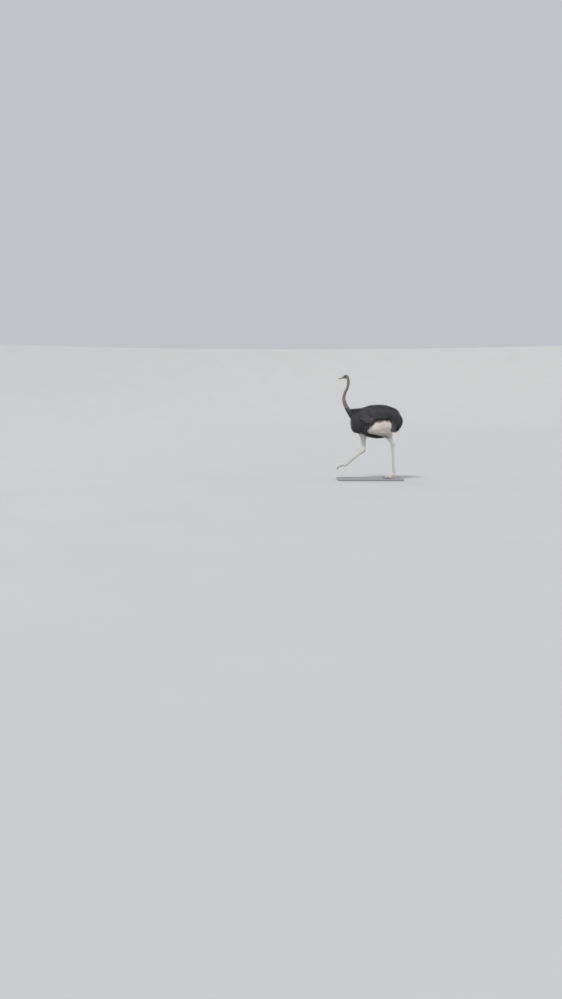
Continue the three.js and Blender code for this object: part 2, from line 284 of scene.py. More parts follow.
def to_head(points):
    """Points of the bird's frame in the head's frame."""
    c, s = math.cos(HEAD_TILT), math.sin(HEAD_TILT)
    x, y, z = np.moveaxis(np.asarray(points, float) - np.array(HEAD_AT), -1, 0)
    return np.stack([x, y * c + z * s, -y * s + z * c], -1)


def step(low, high, value):
    """0 below low, 1 above high, and a smooth rise between."""
    t = np.clip((np.asarray(value, float) - low) / (high - low), 0, 1)
    return t * t * (3 - 2 * t)


def bump_at(value, centre, width):
    """1 at the centre, and a smooth fall to 0 on both sides of it."""
    return np.exp(-(((np.asarray(value) - centre) / width) ** 2))


def unit(vectors):
    """The vectors at a length of 1."""
    return vectors / np.maximum(np.linalg.norm(vectors, axis=-1, keepdims=True), 1e-12)


def ripple(points, size, seed, waves=7):
    """Smooth noise from -1 to 1 whose features are about size across, the same for every run."""
    rng = np.random.default_rng(seed)
    heading = unit(rng.normal(size=(waves, 3))) * (2 * math.pi / size)
    phase = rng.uniform(0, 2 * math.pi, waves)
    pitch = rng.uniform(0.6, 1.5, waves)[:, None]
    return np.sin(np.asarray(points) @ (heading * pitch).T + phase).sum(-1) / math.sqrt(waves)


def smooth_rows(rows):
    """A smooth curve through rows of numbers, spaced by the distance between their first three. Returns
    what gives its row at each share of the way along, and its length."""
    rows = np.array(rows, float)
    at = np.concatenate([[0], np.cumsum(np.linalg.norm(np.diff(rows[:, :3], axis=0), axis=1))])
    before = np.maximum(np.arange(len(rows)) - 1, 0)
    after = np.minimum(np.arange(len(rows)) + 1, len(rows) - 1)
    slope = (rows[after] - rows[before]) / (at[after] - at[before])[:, None]

    def row(t):
        s = np.clip(t, 0, 1) * at[-1]
        i = np.clip(np.searchsorted(at, s, side="right") - 1, 0, len(rows) - 2)
        h = (at[i + 1] - at[i])[..., None]
        u = (s - at[i])[..., None] / h
        rise = u * u * (3 - 2 * u)
        bend_out, bend_in = slope[i] * h * u * (1 - u) ** 2, slope[i + 1] * h * u * u * (u - 1)
        return rows[i] + (rows[i + 1] - rows[i]) * rise + bend_out + bend_in

    return row, at[-1]


class Loft:
    """A body with an oval section that follows its stations. Its sections stand square to facing, or to
    the axis where that isn't given. caps are the lengths over which its ends round off."""

    def __init__(self, rows, caps=(0, 0), facing=None, square=2.0, span=(0.0, 1.0)):
        self.row, self.length = smooth_rows(rows)
        self.caps, self.facing, self.square, self.span = caps, facing, square, span

    def frame(self, u):
        """The station at each u, and the direction that is up in its section."""
        t = self.span[0] + (self.span[1] - self.span[0]) * np.asarray(u, float)
        row = self.row(t)
        if self.facing is None:
            heading = self.row(np.minimum(t + 1e-3, 1))[..., :3] - self.row(np.maximum(t - 1e-3, 0))[..., :3]
        else:
            heading = np.broadcast_to(self.facing, row[..., :3].shape)
        return row, unit(np.cross(heading, LEFT))

    def at(self, u, angle, grow=0.0, share=1.0):
        """Points of the surface: u runs from end to end and angle from the left side over the top."""
        u, angle = np.broadcast_arrays(np.asarray(u, float), np.asarray(angle, float))
        row, up = self.frame(u)
        size = np.ones(u.shape)
        length = self.length * (self.span[1] - self.span[0])
        for cap, start in zip(self.caps, (u, 1 - u)):
            if cap:
                size = size * np.sqrt(np.maximum(1 - (1 - np.minimum(start * length / cap, 1)) ** 2, 0))
        across, over = (np.sign(v) * np.abs(v) ** (2 / self.square) for v in (np.cos(angle), np.sin(angle)))
        wide = across * (row[..., 3] + grow) * size * share
        high = over * (np.where(over > 0, row[..., 4], row[..., 5]) + grow) * size * share
        return row[..., :3] + LEFT * wide[..., None] + up * high[..., None]

    def grid(self, along, around):
        """u, the angles, and the surface's points (along, around, 3), closer together near rounded ends."""
        even = np.linspace(0, 1, along)
        both = self.caps[0] > 0 and self.caps[1] > 0
        u = even * 0.45 + (1 - np.cos(np.pi * even)) / 2 * 0.55 if both else even
        angle = np.arange(around) * (TURN / around)
        return u, angle, self.at(u[:, None], angle[None, :])


def ring_quads(rings, around):
    """Faces between the rings of a grid (rings, around) that closes on itself."""
    r, a = np.meshgrid(np.arange(rings - 1), np.arange(around), indexing="ij")
    b = (a + 1) % around
    quads = np.stack([r * around + a, (r + 1) * around + a, (r + 1) * around + b, r * around + b], -1)
    return quads.reshape(-1, 4)


def ring_fan(hub, first, around):
    """Faces from a hub to the ring that starts at vertex first."""
    a = np.arange(around)
    return np.stack([np.full(around, hub), first + a, first + (a + 1) % around], -1)


def tube(points):
    """Vertices and faces of a closed body from a grid of rings (rings, around, 3)."""
    rings, around = points.shape[:2]
    vertices = np.concatenate([points.reshape(-1, 3), points[:1].mean(1), points[-1:].mean(1)])
    end = ring_fan(rings * around + 1, (rings - 1) * around, around)[:, [0, 2, 1]]
    return vertices, [ring_quads(rings, around), ring_fan(rings * around, 0, around), end]


def plate_faces(rows, columns):
    """Faces of a closed plate whose vertices are a grid of its top and then one of its underside."""
    cell = np.arange(rows * columns).reshape(rows, columns)
    a = cell[:-1, :-1].ravel()
    top = np.stack([a, a + 1, a + columns + 1, a + columns], -1)
    ring = np.concatenate([cell[0], cell[1:, -1], cell[-1, -2::-1], cell[-2:0:-1, 0]])
    following = np.roll(ring, -1)
    rim = np.stack([following, ring, ring + cell.size, following + cell.size], -1)
    return np.concatenate([top, top[:, ::-1] + cell.size, rim])


def build(name, vertices, faces):
    """A smooth object from vertices in metres and a list of face arrays, each with a fixed corner count."""
    mesh = bpy.data.meshes.new(name)
    loops = np.concatenate([f.ravel() for f in faces]).astype(np.int32)
    counts = np.concatenate([np.full(len(f), f.shape[1]) for f in faces])
    starts = np.concatenate([[0], np.cumsum(counts)[:-1]]).astype(np.int32)
    mesh.vertices.add(len(vertices))
    mesh.vertices.foreach_set("co", np.asarray(vertices, np.float32).ravel())
    mesh.loops.add(len(loops))
    mesh.loops.foreach_set("vertex_index", loops)
    mesh.polygons.add(len(counts))
    mesh.polygons.foreach_set("loop_start", starts)
    mesh.polygons.foreach_set("use_smooth", np.ones(len(counts), bool))
    mesh.update(calc_edges=True)
    made = bpy.data.objects.new(name, mesh)
    bpy.context.scene.collection.objects.link(made)
    return made


def joined(parts):
    """Several (vertices, faces) as one."""
    vertices, faces, count = [], [], 0
    for v, fs in parts:
        vertices.append(v)
        faces += [f + count for f in fs]
        count += len(v)
    by_size = {}
    for f in faces:
        by_size.setdefault(f.shape[1], []).append(f)
    return np.concatenate(vertices), [np.concatenate(group) for group in by_size.values()]


def numbers(obj, name, values, kind="FLOAT"):
    """Stores a value for each vertex, for the materials to read."""
    made = obj.data.attributes.new(name, kind, "POINT")
    field = {"FLOAT": "value", "FLOAT_COLOR": "color"}[kind]
    made.data.foreach_set(field, np.asarray(values, np.float32).ravel())


def fetched(items, name, width, kind=np.float32):
    """A property of some of a mesh's items, with a row for each."""
    flat = np.zeros(len(items) * width, kind)
    items.foreach_get(name, flat)
    return flat.reshape(-1, width)


def skin_points(mesh):
    """The mesh's vertices in the bird's frame."""
    return unplace(fetched(mesh.vertices, "co", 3).astype(float))


def set_points(mesh, points):
    mesh.vertices.foreach_set("co", np.asarray(place(points), np.float32).ravel())
    mesh.update()


def edges_of(mesh):
    return fetched(mesh.edges, "vertices", 2, np.int32)


def normals_of(mesh):
    return fetched(mesh.vertices, "normal", 3).astype(float)


def relax(values, edges, weight, rounds, amount=0.6):
    """Laplacian smoothing of values (n, k) along edges, where weight (n) is above 0."""
    n = len(values)
    first, second = edges.T
    degree = np.maximum(np.bincount(edges.ravel(), minlength=n), 1)[:, None]
    weight = np.broadcast_to(np.reshape(weight, (-1, 1)), (n, 1)) * amount
    for _ in range(rounds):
        sums = [np.bincount(first, v[second], n) + np.bincount(second, v[first], n) for v in values.T]
        values = values + (np.stack(sums, -1) / degree - values) * weight
    return values


def settle(obj):
    """Applies the object's modifiers to its mesh."""
    graph = bpy.context.evaluated_depsgraph_get()
    mesh = bpy.data.meshes.new_from_object(obj.evaluated_get(graph))
    obj.modifiers.clear()
    old, obj.data = obj.data, mesh
    bpy.data.meshes.remove(old)


def tree_of(points):
    """A tree that finds the nearest of some points."""
    tree = kdtree.KDTree(len(points))
    for i, point in enumerate(points):
        tree.insert(point, i)
    tree.balance()
    return tree


def finish(piece, material, slot, *nodes):
    """Gives a piece its material and body, and hides the nodes that it replaces; slot is not used."""
    piece.data.materials.append(material)
    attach(piece, "root")
    if nodes:
        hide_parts(*nodes)
    return piece


# ---------------------------------------------------------------- the skin


def inset(rows, depths):
    """Stations of flesh that lies by the depths inside other stations."""
    rows = np.array(rows, float)
    rows[:, 3:] = np.maximum(rows[:, 3:] - np.reshape(depths, (-1, 1)), THINNEST)
    return rows


def tarsus_loft(side):
    return Loft(inset(TARSUS[side], 0.8), (34, 16))


def toe_loft(name):
    return Loft(inset(TOES[name], 0.6), (14, 16), None, 2.3)


def flesh():
    """(region, u, angle, points) for each length of flesh, inside its CAD node by the coat's depth."""
    trunk = inset(TRUNK, TRUNK_DEPTHS)
    trunk[:, 5] += BELLY_FILL
    lofts = [
        (ON_TRUNK, Loft(trunk, (60, 50), FORWARD, 2.15, (0.035, 0.965)), 60, 72),
        (ON_NECK, Loft(inset(NECK, NECK_DEPTHS)), 110, 48),
        (ON_TRUNK, Loft(RUMP, (0, 24)), 20, 32),
    ]
    for side, sign in SIDES.items():
        arm = np.array(ARM) * [sign, 1, 1, 1, 1, 1]
        depths = [26, 14, 4] + [1.0] * (len(LEG[side]) - 3)
        lofts += [
            (ON_TRUNK, Loft(arm, (30, 30), FORWARD), 40, 32),
            (ON_LEG, Loft(inset(LEG[side], depths), (0, 0), DOWN, 2.1), 110, 72),
            (ON_TARSUS, tarsus_loft(side), 120, 36),
        ]
    lofts += [(ON_TOE, toe_loft(name), 40, 32) for name in TOES]
    parts = [(region, *loft.grid(rings, around)) for region, loft, rings, around in lofts]
    u, angle, points = Loft(inset(SKULL, 1.2), (16, 0), FORWARD).grid(40, 48)
    return [*parts, (ON_HEAD, u, angle, from_head(points))]


def leg_relief(p, normal, bare):
    """How far the bare leg's skin stands out, in millimetres: the knee's fold, a tendon, shin and muscles."""
    x, y, z = p.T
    out = np.zeros(len(p))
    outer = step(0.1, 0.6, np.abs(normal[:, 0]))
    low = step(860, 760, z)
    for side, sign in SIDES.items():
        own = bare & (np.sign(x) == sign)
        knee_y, knee_z, slope = KNEE_CUT[side]
        fold = (z - knee_z) - slope * (knee_y - y)
        front = step(160, -60, y - knee_y)
        out += own * (-7 * bump_at(fold, 0, 11) * front + 4 * bump_at(fold, 24, 18) * front)
        axis = smooth_rows(LEG[side])[0](np.linspace(0, 1, 200))
        centre_y, half = (np.interp(-z, -axis[:, 2], axis[:, k]) for k in (1, 4))
        back = (y - centre_y) / np.maximum(half, 1)
        tendon = bump_at(back, 0.62, 0.13) * low * step(640, 700, z)
        out += own * (-3.5 * tendon * outer)
        shin = bump_at(back, -0.55, 0.2) * low
        out += own * (-1.8 * shin * outer)
        thigh = step(-20, 60, fold) * step(1080, 1000, z)
        out += own * thigh * 3.0 * ripple(p * [0.4, 1, 1], 190, 5)
    out += bare * 0.75 * ripple(p, 60, 6, 13) + bare * 0.35 * ripple(p, 26, 7, 13)
    return out


def shape_skin(p, normal, label):
    """Moves the skin's points out or in by what each region has."""
    out = leg_relief(p, normal, label == ON_LEG)
    rings = np.sin((p[:, 2] + 0.25 * p[:, 1]) / 3.1 + 1.6 * ripple(p, 70, 9))
    out += (label == ON_NECK) * (0.2 * rings * step(1300, 1500, p[:, 2]) + 0.7 * ripple(p, 80, 8))
    out += (label == ON_TARSUS) * (0.45 * ripple(p * [1, 1, 0.5], 22, 10))
    out += (label == ON_TOE) * (0.5 * ripple(p, 24, 11))
    return p + normal * out[:, None]


def eye_frame(sign):
    """An eye's centre, and its outward, forward and upward directions, in the head's frame."""
    outward = unit(np.array([sign * 0.96, -0.26, 0.07]))
    forward = unit(FORWARD - outward * np.dot(FORWARD, outward))
    upward = np.cross(outward, forward)
    return np.array([sign * EYE_AT[0], *EYE_AT[1:]]), outward, forward, upward * np.sign(upward[2])


EYES = {side: eye_frame(sign) for side, sign in SIDES.items()}


def lid_edge(around):
    """How far from the eye's axis the lids' edge is, as an angle, in each direction around it."""
    tall = np.where(np.sin(around) > 0, LID_HALF[1] * UPPER_LID, LID_HALF[1])
    return 1 / np.sqrt((np.cos(around) / LID_HALF[0]) ** 2 + (np.sin(around) / tall) ** 2)


def lid_share(q, eye):
    """Where points lie against an eye's opening: 1 is the lids' edge. Also their distance from its centre,
    their direction around its axis, and their places from its centre."""
    centre, outward, forward, upward = eye
    v = q - centre
    r = np.linalg.norm(v, axis=-1)
    turn = np.arccos(np.clip((v @ outward) / np.maximum(r, 1e-9), -1, 1))
    around = np.arctan2(v @ upward, v @ forward)
    return turn / lid_edge(around), r, around, v


def near_lids(q):
    """Where points lie against the opening of the nearer eye."""
    return np.minimum(*(lid_share(q, eye)[0] for eye in EYES.values()))


def ear_distance(q):
    """How far points of the head's frame are from the middle of the nearer ear, which is a tall oval."""
    return np.hypot(q[:, 1] - 26, (q[:, 2] + 4) / 1.18) + 60 * (np.abs(q[:, 0]) < 10)


def shape_head(p, normal):
    """The face: sockets, lids, brow, ear, gape and jaw. p is in the bird's frame."""
    q = to_head(p)
    n = to_head(p + normal) - q
    near = step(95, 80, np.linalg.norm(q, axis=1))
    side, y, z = np.abs(q[:, 0]), q[:, 1], q[:, 2]
    cheek = step(10, 24, side)
    out = 2.6 * bump_at(y, -10, 24) * bump_at(z, 29, 7) * cheek
    out -= 2.6 * bump_at(y, -42, 10) * bump_at(z, 6, 11) * cheek
    out += 2.0 * bump_at(y, 14, 16) * bump_at(z, -20, 10) * cheek
    gape_line = -15 - 0.10 * (y + 60)
    out -= 2.2 * bump_at(z, gape_line, 1.8) * step(-20, -30, y) * step(14, 22, side)
    out += 1.4 * bump_at(z, gape_line - 5, 3.5) * step(-24, -36, y) * cheek
    ear = ear_distance(q)
    out += 1.2 * bump_at(ear, 7.0, 2.2) * cheek
    out -= 7.5 * step(6.2, 2.4, ear) * cheek
    out -= 1.6 * bump_at(y - 0.4 * z, 44, 5) * step(5, -15, z) * cheek
    edge = -49 - 9 * step(0, 15, z) + 5 * step(-4, -24, z) + 0.35 * ripple(q, 20, 15)
    out += 2.5 * step(-24, -42, y) * step(-4.5, 0.5, y - edge)
    folds = np.sin((y * 0.7 + z * 0.5) / 1.9 + 1.2 * ripple(q, 30, 14))
    out += 0.38 * folds * step(-4, -22, z) * step(-60, -40, y)
    out += 0.5 * ripple(q, 18, 12) + 0.25 * ripple(q, 8, 13)
    moved = q + n * (out * near)[:, None]
    for name, sign in SIDES.items():
        own = q[:, 0] * sign > 4
        share, r, around, v = lid_share(moved, EYES[name])
        lid = EYE_RADIUS + 1.5 + 0.5 * step(-0.2, 0.9, np.sin(around))
        roll = lid + 0.7 * bump_at(share, 1.14, 0.09) - 1.1 * bump_at(share, 1.4, 0.07)
        roll = roll + 0.5 * bump_at(share, 1.56, 0.09) + 0.22 * np.sin(around * 17) * step(1.15, 1.4, share)
        inner = EYE_RADIUS - 2.2
        target = np.where(share < 1, inner + (roll - inner) * step(0.88, 1.0, share), roll)
        hold = step(2.25, 1.2, share) * own * (r < 44)
        new_r = r + (target - r) * hold
        moved = np.where(own[:, None], EYES[name][0] + v * (new_r / np.maximum(r, 1e-9))[:, None], moved)
    return from_head(moved)


def thin_hidden(skin, label, edges):
    """Takes most of the faces away where the trunk's skin is hidden by plumes."""
    other = (label != ON_TRUNK)[:, None] * 1.0
    hidden = (label == ON_TRUNK) & (relax(other, edges, 1, 8, 1.0)[:, 0] < 1e-4)
    group = skin.vertex_groups.new(name="hidden")
    group.add(np.nonzero(hidden)[0].tolist(), 1.0, "REPLACE")
    thin = skin.modifiers.new("thin", "DECIMATE")
    thin.ratio, thin.vertex_group = 1 - hidden.mean() * THINNED, "hidden"
    settle(skin)
    skin.vertex_groups.clear()


def refine_head(mesh):
    """Gives the head four times the detail each way, and rounds it. Returns the mesh's points."""

    def from_skull(p):
        return np.linalg.norm(to_head(p) * [1, 0.86, 1], axis=1)

    fine = from_skull(skin_points(mesh)) < HEAD_REACH
    work = bmesh.new()
    work.from_mesh(mesh)
    cut = [e for e in work.edges if fine[e.verts[0].index] and fine[e.verts[1].index]]
    bmesh.ops.subdivide_edges(work, edges=cut, cuts=3, use_grid_fill=True)
    bmesh.ops.triangulate(work, faces=[f for f in work.faces if len(f.verts) > 4])
    work.to_mesh(mesh)
    work.free()
    p = skin_points(mesh)
    p = relax(p, edges_of(mesh), step(HEAD_REACH + 4, HEAD_REACH - 2, from_skull(p)), 10, 0.6)
    set_points(mesh, p)
    return p


def make_skin():
    """One skin over all lengths of flesh. Returns it with its points, and each point's region, unwrapped
    place and shares of the regions."""
    parts = flesh()
    skin = build("ostrich_skin", *joined([tube(place(points)) for *_, points in parts]))
    remesh = skin.modifiers.new("remesh", "REMESH")
    remesh.mode, remesh.voxel_size, remesh.adaptivity = "VOXEL", VOXEL, 0.0
    settle(skin)
    tree = tree_of(np.concatenate([points.reshape(-1, 3) for *_, points in parts]))
    labels = np.concatenate([np.full(points[..., 0].size, region) for region, _, _, points in parts])
    places = [np.stack(np.meshgrid(u, angle / TURN, indexing="ij"), -1) for _, u, angle, _ in parts]
    places = np.concatenate([grid.reshape(-1, 2) for grid in places])

    p, edges = skin_points(skin.data), edges_of(skin.data)
    label = labels[[tree.find(v)[1] for v in p]]
    # Where two regions meet, the seam between their lofts is smoothed away.
    mixed = np.zeros((len(p), 1))
    mixed[edges[label[edges[:, 0]] != label[edges[:, 1]]].ravel()] = 1.0
    mixed = np.clip(relax(mixed, edges, 1, 14, 1.0) * 14, 0, 1)
    p = relax(p, edges, 1, 2, 0.5)
    set_points(skin.data, relax(p, edges, mixed[:, 0], 26, 0.7))
    thin_hidden(skin, label, edges)

    p = refine_head(skin.data)
    edges = edges_of(skin.data)
    found = [tree.find(v)[1] for v in p]
    label, normal = labels[found], normals_of(skin.data)
    p = shape_skin(p, normal, label)
    near_head = np.linalg.norm(to_head(p), axis=1) < 100
    p[near_head] = shape_head(p[near_head], normal[near_head])
    p = relax(p, edges, near_head * step(12, 9, ear_distance(to_head(p))), 5, 0.6)
    p[:, 2] = np.maximum(p[:, 2], SOLE_GAP)
    set_points(skin.data, p)
    zones = relax(np.eye(len(REGIONS))[label], edges, 1, 10, 0.8)
    return skin, p, label, places[found], zones


# ---------------------------------------------------------------- materials


def rgb(r, g, b):
    return (r, g, b, 1.0)


class Paint:
    """A small helper that adds nodes to one material."""

    def __init__(self, name, **principled):
        self.material = bpy.data.materials.new(name)
        self.material.use_nodes = True
        self.tree = self.material.node_tree
        self.shader = self.tree.nodes["Principled BSDF"]
        for key, value in principled.items():
            self.shader.inputs[key.replace("_", " ")].default_value = value

    def feed(self, socket, value):
        """Links a socket to another one, or sets it to a plain value."""
        if isinstance(value, bpy.types.NodeSocket):
            self.tree.links.new(value, socket)
        else:
            socket.default_value = value

    def node(self, kind, *values, **inputs):
        made = self.tree.nodes.new(kind)
        for socket, value in zip(made.inputs, values):
            self.feed(socket, value)
        for key, value in inputs.items():
            self.feed(made.inputs[key], value)
        return made

    def link(self, output, key):
        self.tree.links.new(output, self.shader.inputs[key])

    def spot(self, scale):
        spot = self.node("ShaderNodeTexCoord").outputs["Object"]
        return self.node("ShaderNodeMapping", Vector=spot, Scale=scale).outputs["Vector"]

    def noise(self, scale, detail=3.0, rough=0.55, stretch=(1, 1, 1)):
        vector = self.spot(stretch)
        made = self.node("ShaderNodeTexNoise", Vector=vector, Scale=scale, Detail=detail, Roughness=rough)
        return made.outputs["Fac"]

    def cells(self, scale, feature="F1"):
        made = self.node("ShaderNodeTexVoronoi", Vector=self.spot((1, 1, 1)), Scale=scale)
        made.feature = feature
        return made.outputs["Distance"]

    def read(self, name, output="Fac"):
        made = self.node("ShaderNodeAttribute")
        made.attribute_name = name
        return made.outputs[output]

    def math(self, operation, *values, clamp=False):
        made = self.node("ShaderNodeMath", *values)
        made.operation, made.use_clamp = operation, clamp
        return made.outputs[0]

    def fit(self, value, low, high, to_low=0.0, to_high=1.0):
        return self.node("ShaderNodeMapRange", value, low, high, to_low, to_high).outputs["Result"]

    def mix(self, share, a, b):
        made = self.node("ShaderNodeMix")
        made.data_type = "RGBA"
        for index, value in ((0, share), (6, a), (7, b)):
            self.feed(made.inputs[index], value)
        return made.outputs[2]

    def bump(self, height, distance, strength, over=None):
        made = self.node("ShaderNodeBump", Height=height, Distance=distance, Strength=strength)
        if over is not None:
            self.feed(made.inputs["Normal"], over)
        return made.outputs["Normal"]


def skin_paint():
    """Dark under the plumes, grey down colour on neck and head, bare on the thighs, scaly and pale below,
    with painted shade in the ear pits, round the lids and under the thighs.
    """
    paint = Paint("ostrich_skin", Roughness=0.62, Subsurface_Weight=0.0)
    zone = paint.node("ShaderNodeSeparateColor", Color=paint.read("zone", "Color"))
    down, leg, scaly = zone.outputs["Red"], zone.outputs["Green"], zone.outputs["Blue"]
    blotch, fine, height = paint.noise(9.0, 4.0), paint.noise(70.0), paint.read("height")
    dark = paint.mix(fine, rgb(0.022, 0.021, 0.022), rgb(0.050, 0.047, 0.046))
    neck = paint.mix(blotch, rgb(0.27, 0.235, 0.212), rgb(0.385, 0.343, 0.31))
    mask = paint.mix(fine, rgb(0.22, 0.205, 0.195), rgb(0.33, 0.31, 0.295))
    thigh = paint.mix(paint.fit(blotch, 0.35, 0.65), rgb(0.56, 0.505, 0.445), rgb(0.70, 0.65, 0.60))
    thigh = paint.mix(paint.fit(paint.read("rosy"), 0.0, 1.0), thigh, rgb(0.60, 0.47, 0.42))
    low = paint.math("MULTIPLY_ADD", paint.noise(14.0), 0.16, height)
    thigh = paint.mix(paint.fit(low, 0.74, 0.98, 0.9, 0.0), thigh, rgb(0.76, 0.735, 0.70))
    pores = paint.cells(135.0)
    thigh = paint.mix(paint.fit(pores, 0.0, 0.30, 0.30, 0.0), thigh, rgb(0.42, 0.33, 0.29))
    shin = paint.mix(blotch, rgb(0.66, 0.635, 0.59), rgb(0.80, 0.785, 0.75))
    plates = paint.cells(185.0, "DISTANCE_TO_EDGE")
    shin = paint.mix(paint.fit(plates, 0.0, 0.10, 0.48, 0.0), shin, rgb(0.36, 0.31, 0.27))
    shin = paint.mix(paint.fit(height, 0.02, 0.16, 0.45, 0.0), shin, rgb(0.40, 0.35, 0.30))
    colour = paint.mix(down, dark, neck)
    for share, over in ((paint.read("face"), mask), (leg, thigh), (scaly, shin)):
        colour = paint.mix(share, colour, over)
    # Painted shade: this dark brown goes where the painted_shade attribute says.
    colour = paint.mix(paint.read("painted_shade"), colour, rgb(0.045, 0.036, 0.031))
    paint.link(colour, "Base Color")
    paint.link(paint.math("MULTIPLY_ADD", paint.noise(40.0, 2.0), 0.22, 0.50), "Roughness")
    bare = paint.math("SUBTRACT", leg, scaly, clamp=True)
    follicles = paint.math("MULTIPLY", paint.fit(pores, 0.0, 0.35, 1.0, 0.0), bare)
    scales = paint.math("MULTIPLY", paint.fit(plates, 0.0, 0.14), scaly)
    normal = paint.bump(paint.noise(46.0, 5.0, 0.62, (1, 1, 0.45)), 0.0011, 0.4)
    normal = paint.bump(paint.noise(320.0, 3.0, 0.6), 0.0006, 0.5, normal)
    normal = paint.bump(follicles, 0.0020, 0.9, normal)
    paint.link(paint.bump(scales, 0.0014, 0.9, normal), "Normal")
    return paint.material


def plume_paint(name, dark, light, tip, sheen=0.25):
    """Plumage: each plume has its own tone; its barbs darken towards the shaft by painted shade, and pale a
    little towards their ends by painted sheen or by real pale and worn tips.
    """
    paint = Paint(name, Roughness=0.62, Sheen_Weight=sheen, Sheen_Roughness=0.45)
    paint.shader.inputs["Specular IOR Level"].default_value = 0.32
    colour = paint.mix(paint.read("tone"), dark, light)
    colour = paint.mix(paint.fit(paint.noise(5.0), 0.35, 0.7, 0.0, 0.5), colour, light)
    # Painted shade: the barbs darken towards the shaft.
    colour = paint.mix(paint.fit(paint.read("out"), 0.0, 0.6, 0.55, 0.0), colour, dark)
    # Towards the tip colour where pale says: painted sheen on barb ends, and real pale and worn tips on the
    # wing and tail.
    colour = paint.mix(paint.read("pale"), colour, tip)
    streak = paint.noise(150.0, 2.0, 0.5, (1, 0.35, 1))
    colour = paint.mix(paint.fit(streak, 0.35, 0.75, 0.0, 0.45), colour, dark)
    paint.link(colour, "Base Color")
    paint.link(paint.fit(paint.noise(60.0, 2.0), 0.3, 0.7, 0.54, 0.74), "Roughness")
    return paint.material


def horn_paint(name, pale, dark, rough=0.5, stretch=(1, 1, 1)):
    """Keratin with growth bands, darker along its worn edges and where the dark attribute says, which on the
    bill includes painted shade in the nostrils and along the closing edges.
    """
    paint = Paint(name, Roughness=rough)
    bands = paint.noise(46.0, 4.0, 0.6, stretch)
    colour = paint.mix(paint.fit(bands, 0.3, 0.75), pale, dark)
    colour = paint.mix(paint.read("dark"), colour, rgb(*(0.45 * v for v in dark[:3])))
    paint.link(colour, "Base Color")
    paint.link(paint.fit(paint.noise(110.0), 0.3, 0.7, rough - 0.08, rough + 0.16), "Roughness")
    paint.link(paint.bump(paint.noise(210.0, 3.0, 0.6, stretch), 0.0008, 0.5), "Normal")
    return paint.material


def eye_paint():
    """Pupil, brown iris and dark rim, by the angle from the eye's axis, under a wet surface."""
    paint = Paint("eye_wet", Roughness=0.05, Coat_Weight=0.35, Coat_Roughness=0.02)
    paint.shader.inputs["Specular IOR Level"].default_value = 0.22
    turn = paint.read("turn")
    iris = paint.mix(paint.noise(420.0, 3.0, 0.6), rgb(0.022, 0.010, 0.007), rgb(0.075, 0.034, 0.018))
    iris = paint.mix(paint.fit(turn, 0.34, 0.40), rgb(0.002, 0.002, 0.002), iris)
    iris = paint.mix(paint.fit(turn, 0.62, 0.74), iris, rgb(0.014, 0.009, 0.007))
    paint.link(paint.mix(paint.fit(turn, 0.86, 1.0), iris, rgb(0.20, 0.16, 0.14)), "Base Color")
    return paint.material


def base_paint():
    """A dull grey paint, finely speckled and worn pale at the edges."""
    paint = Paint("base_paint", Roughness=0.5)
    colour = paint.mix(paint.noise(3.0, 4.0), rgb(0.235, 0.24, 0.25), rgb(0.275, 0.28, 0.29))
    colour = paint.mix(paint.fit(paint.noise(420.0, 2.0), 0.45, 0.8), colour, rgb(0.34, 0.345, 0.35))
    colour = paint.mix(paint.read("edge"), colour, rgb(0.38, 0.385, 0.39))
    paint.link(colour, "Base Color")
    paint.link(paint.fit(paint.noise(30.0, 4.0), 0.3, 0.7, 0.46, 0.62), "Roughness")
    paint.link(paint.bump(paint.noise(700.0, 2.0), 0.0004, 0.5), "Normal")
    return paint.material


# ---------------------------------------------------------------- plumes


# What plumes() and tufts() make: the owner is the number of the plume or tuft that a vertex belongs to. share
# runs from 0 at its root to 1 at its tip, and outward from 0 at the shaft to 1 at a barb's end.
Tufts = namedtuple("Tufts", "vertices faces owner share outward")


def pick(values, at):
    """Values (n, points, k) read between the points, at shares (n, m) of the way along."""
    last = values.shape[1] - 1
    s = np.clip(at, 0, 1) * last
    i = np.minimum(s.astype(int), last - 1)
    f = (s - i)[..., None]
    rows = np.arange(len(values))[:, None]
    return values[rows, i] * (1 - f) + values[rows, i + 1] * f


def bowed(start, end, bow, share):
    """Points at shares of the way from start to end, on lines that bow out in the middle."""
    return start * (1 - share) + end * share + bow * 4 * share * (1 - share)


def tones(rng, middle, spread, count):
    """How light each plume is, around a middle value."""
    return np.clip(middle + rng.normal(0, spread, count), 0, 1)


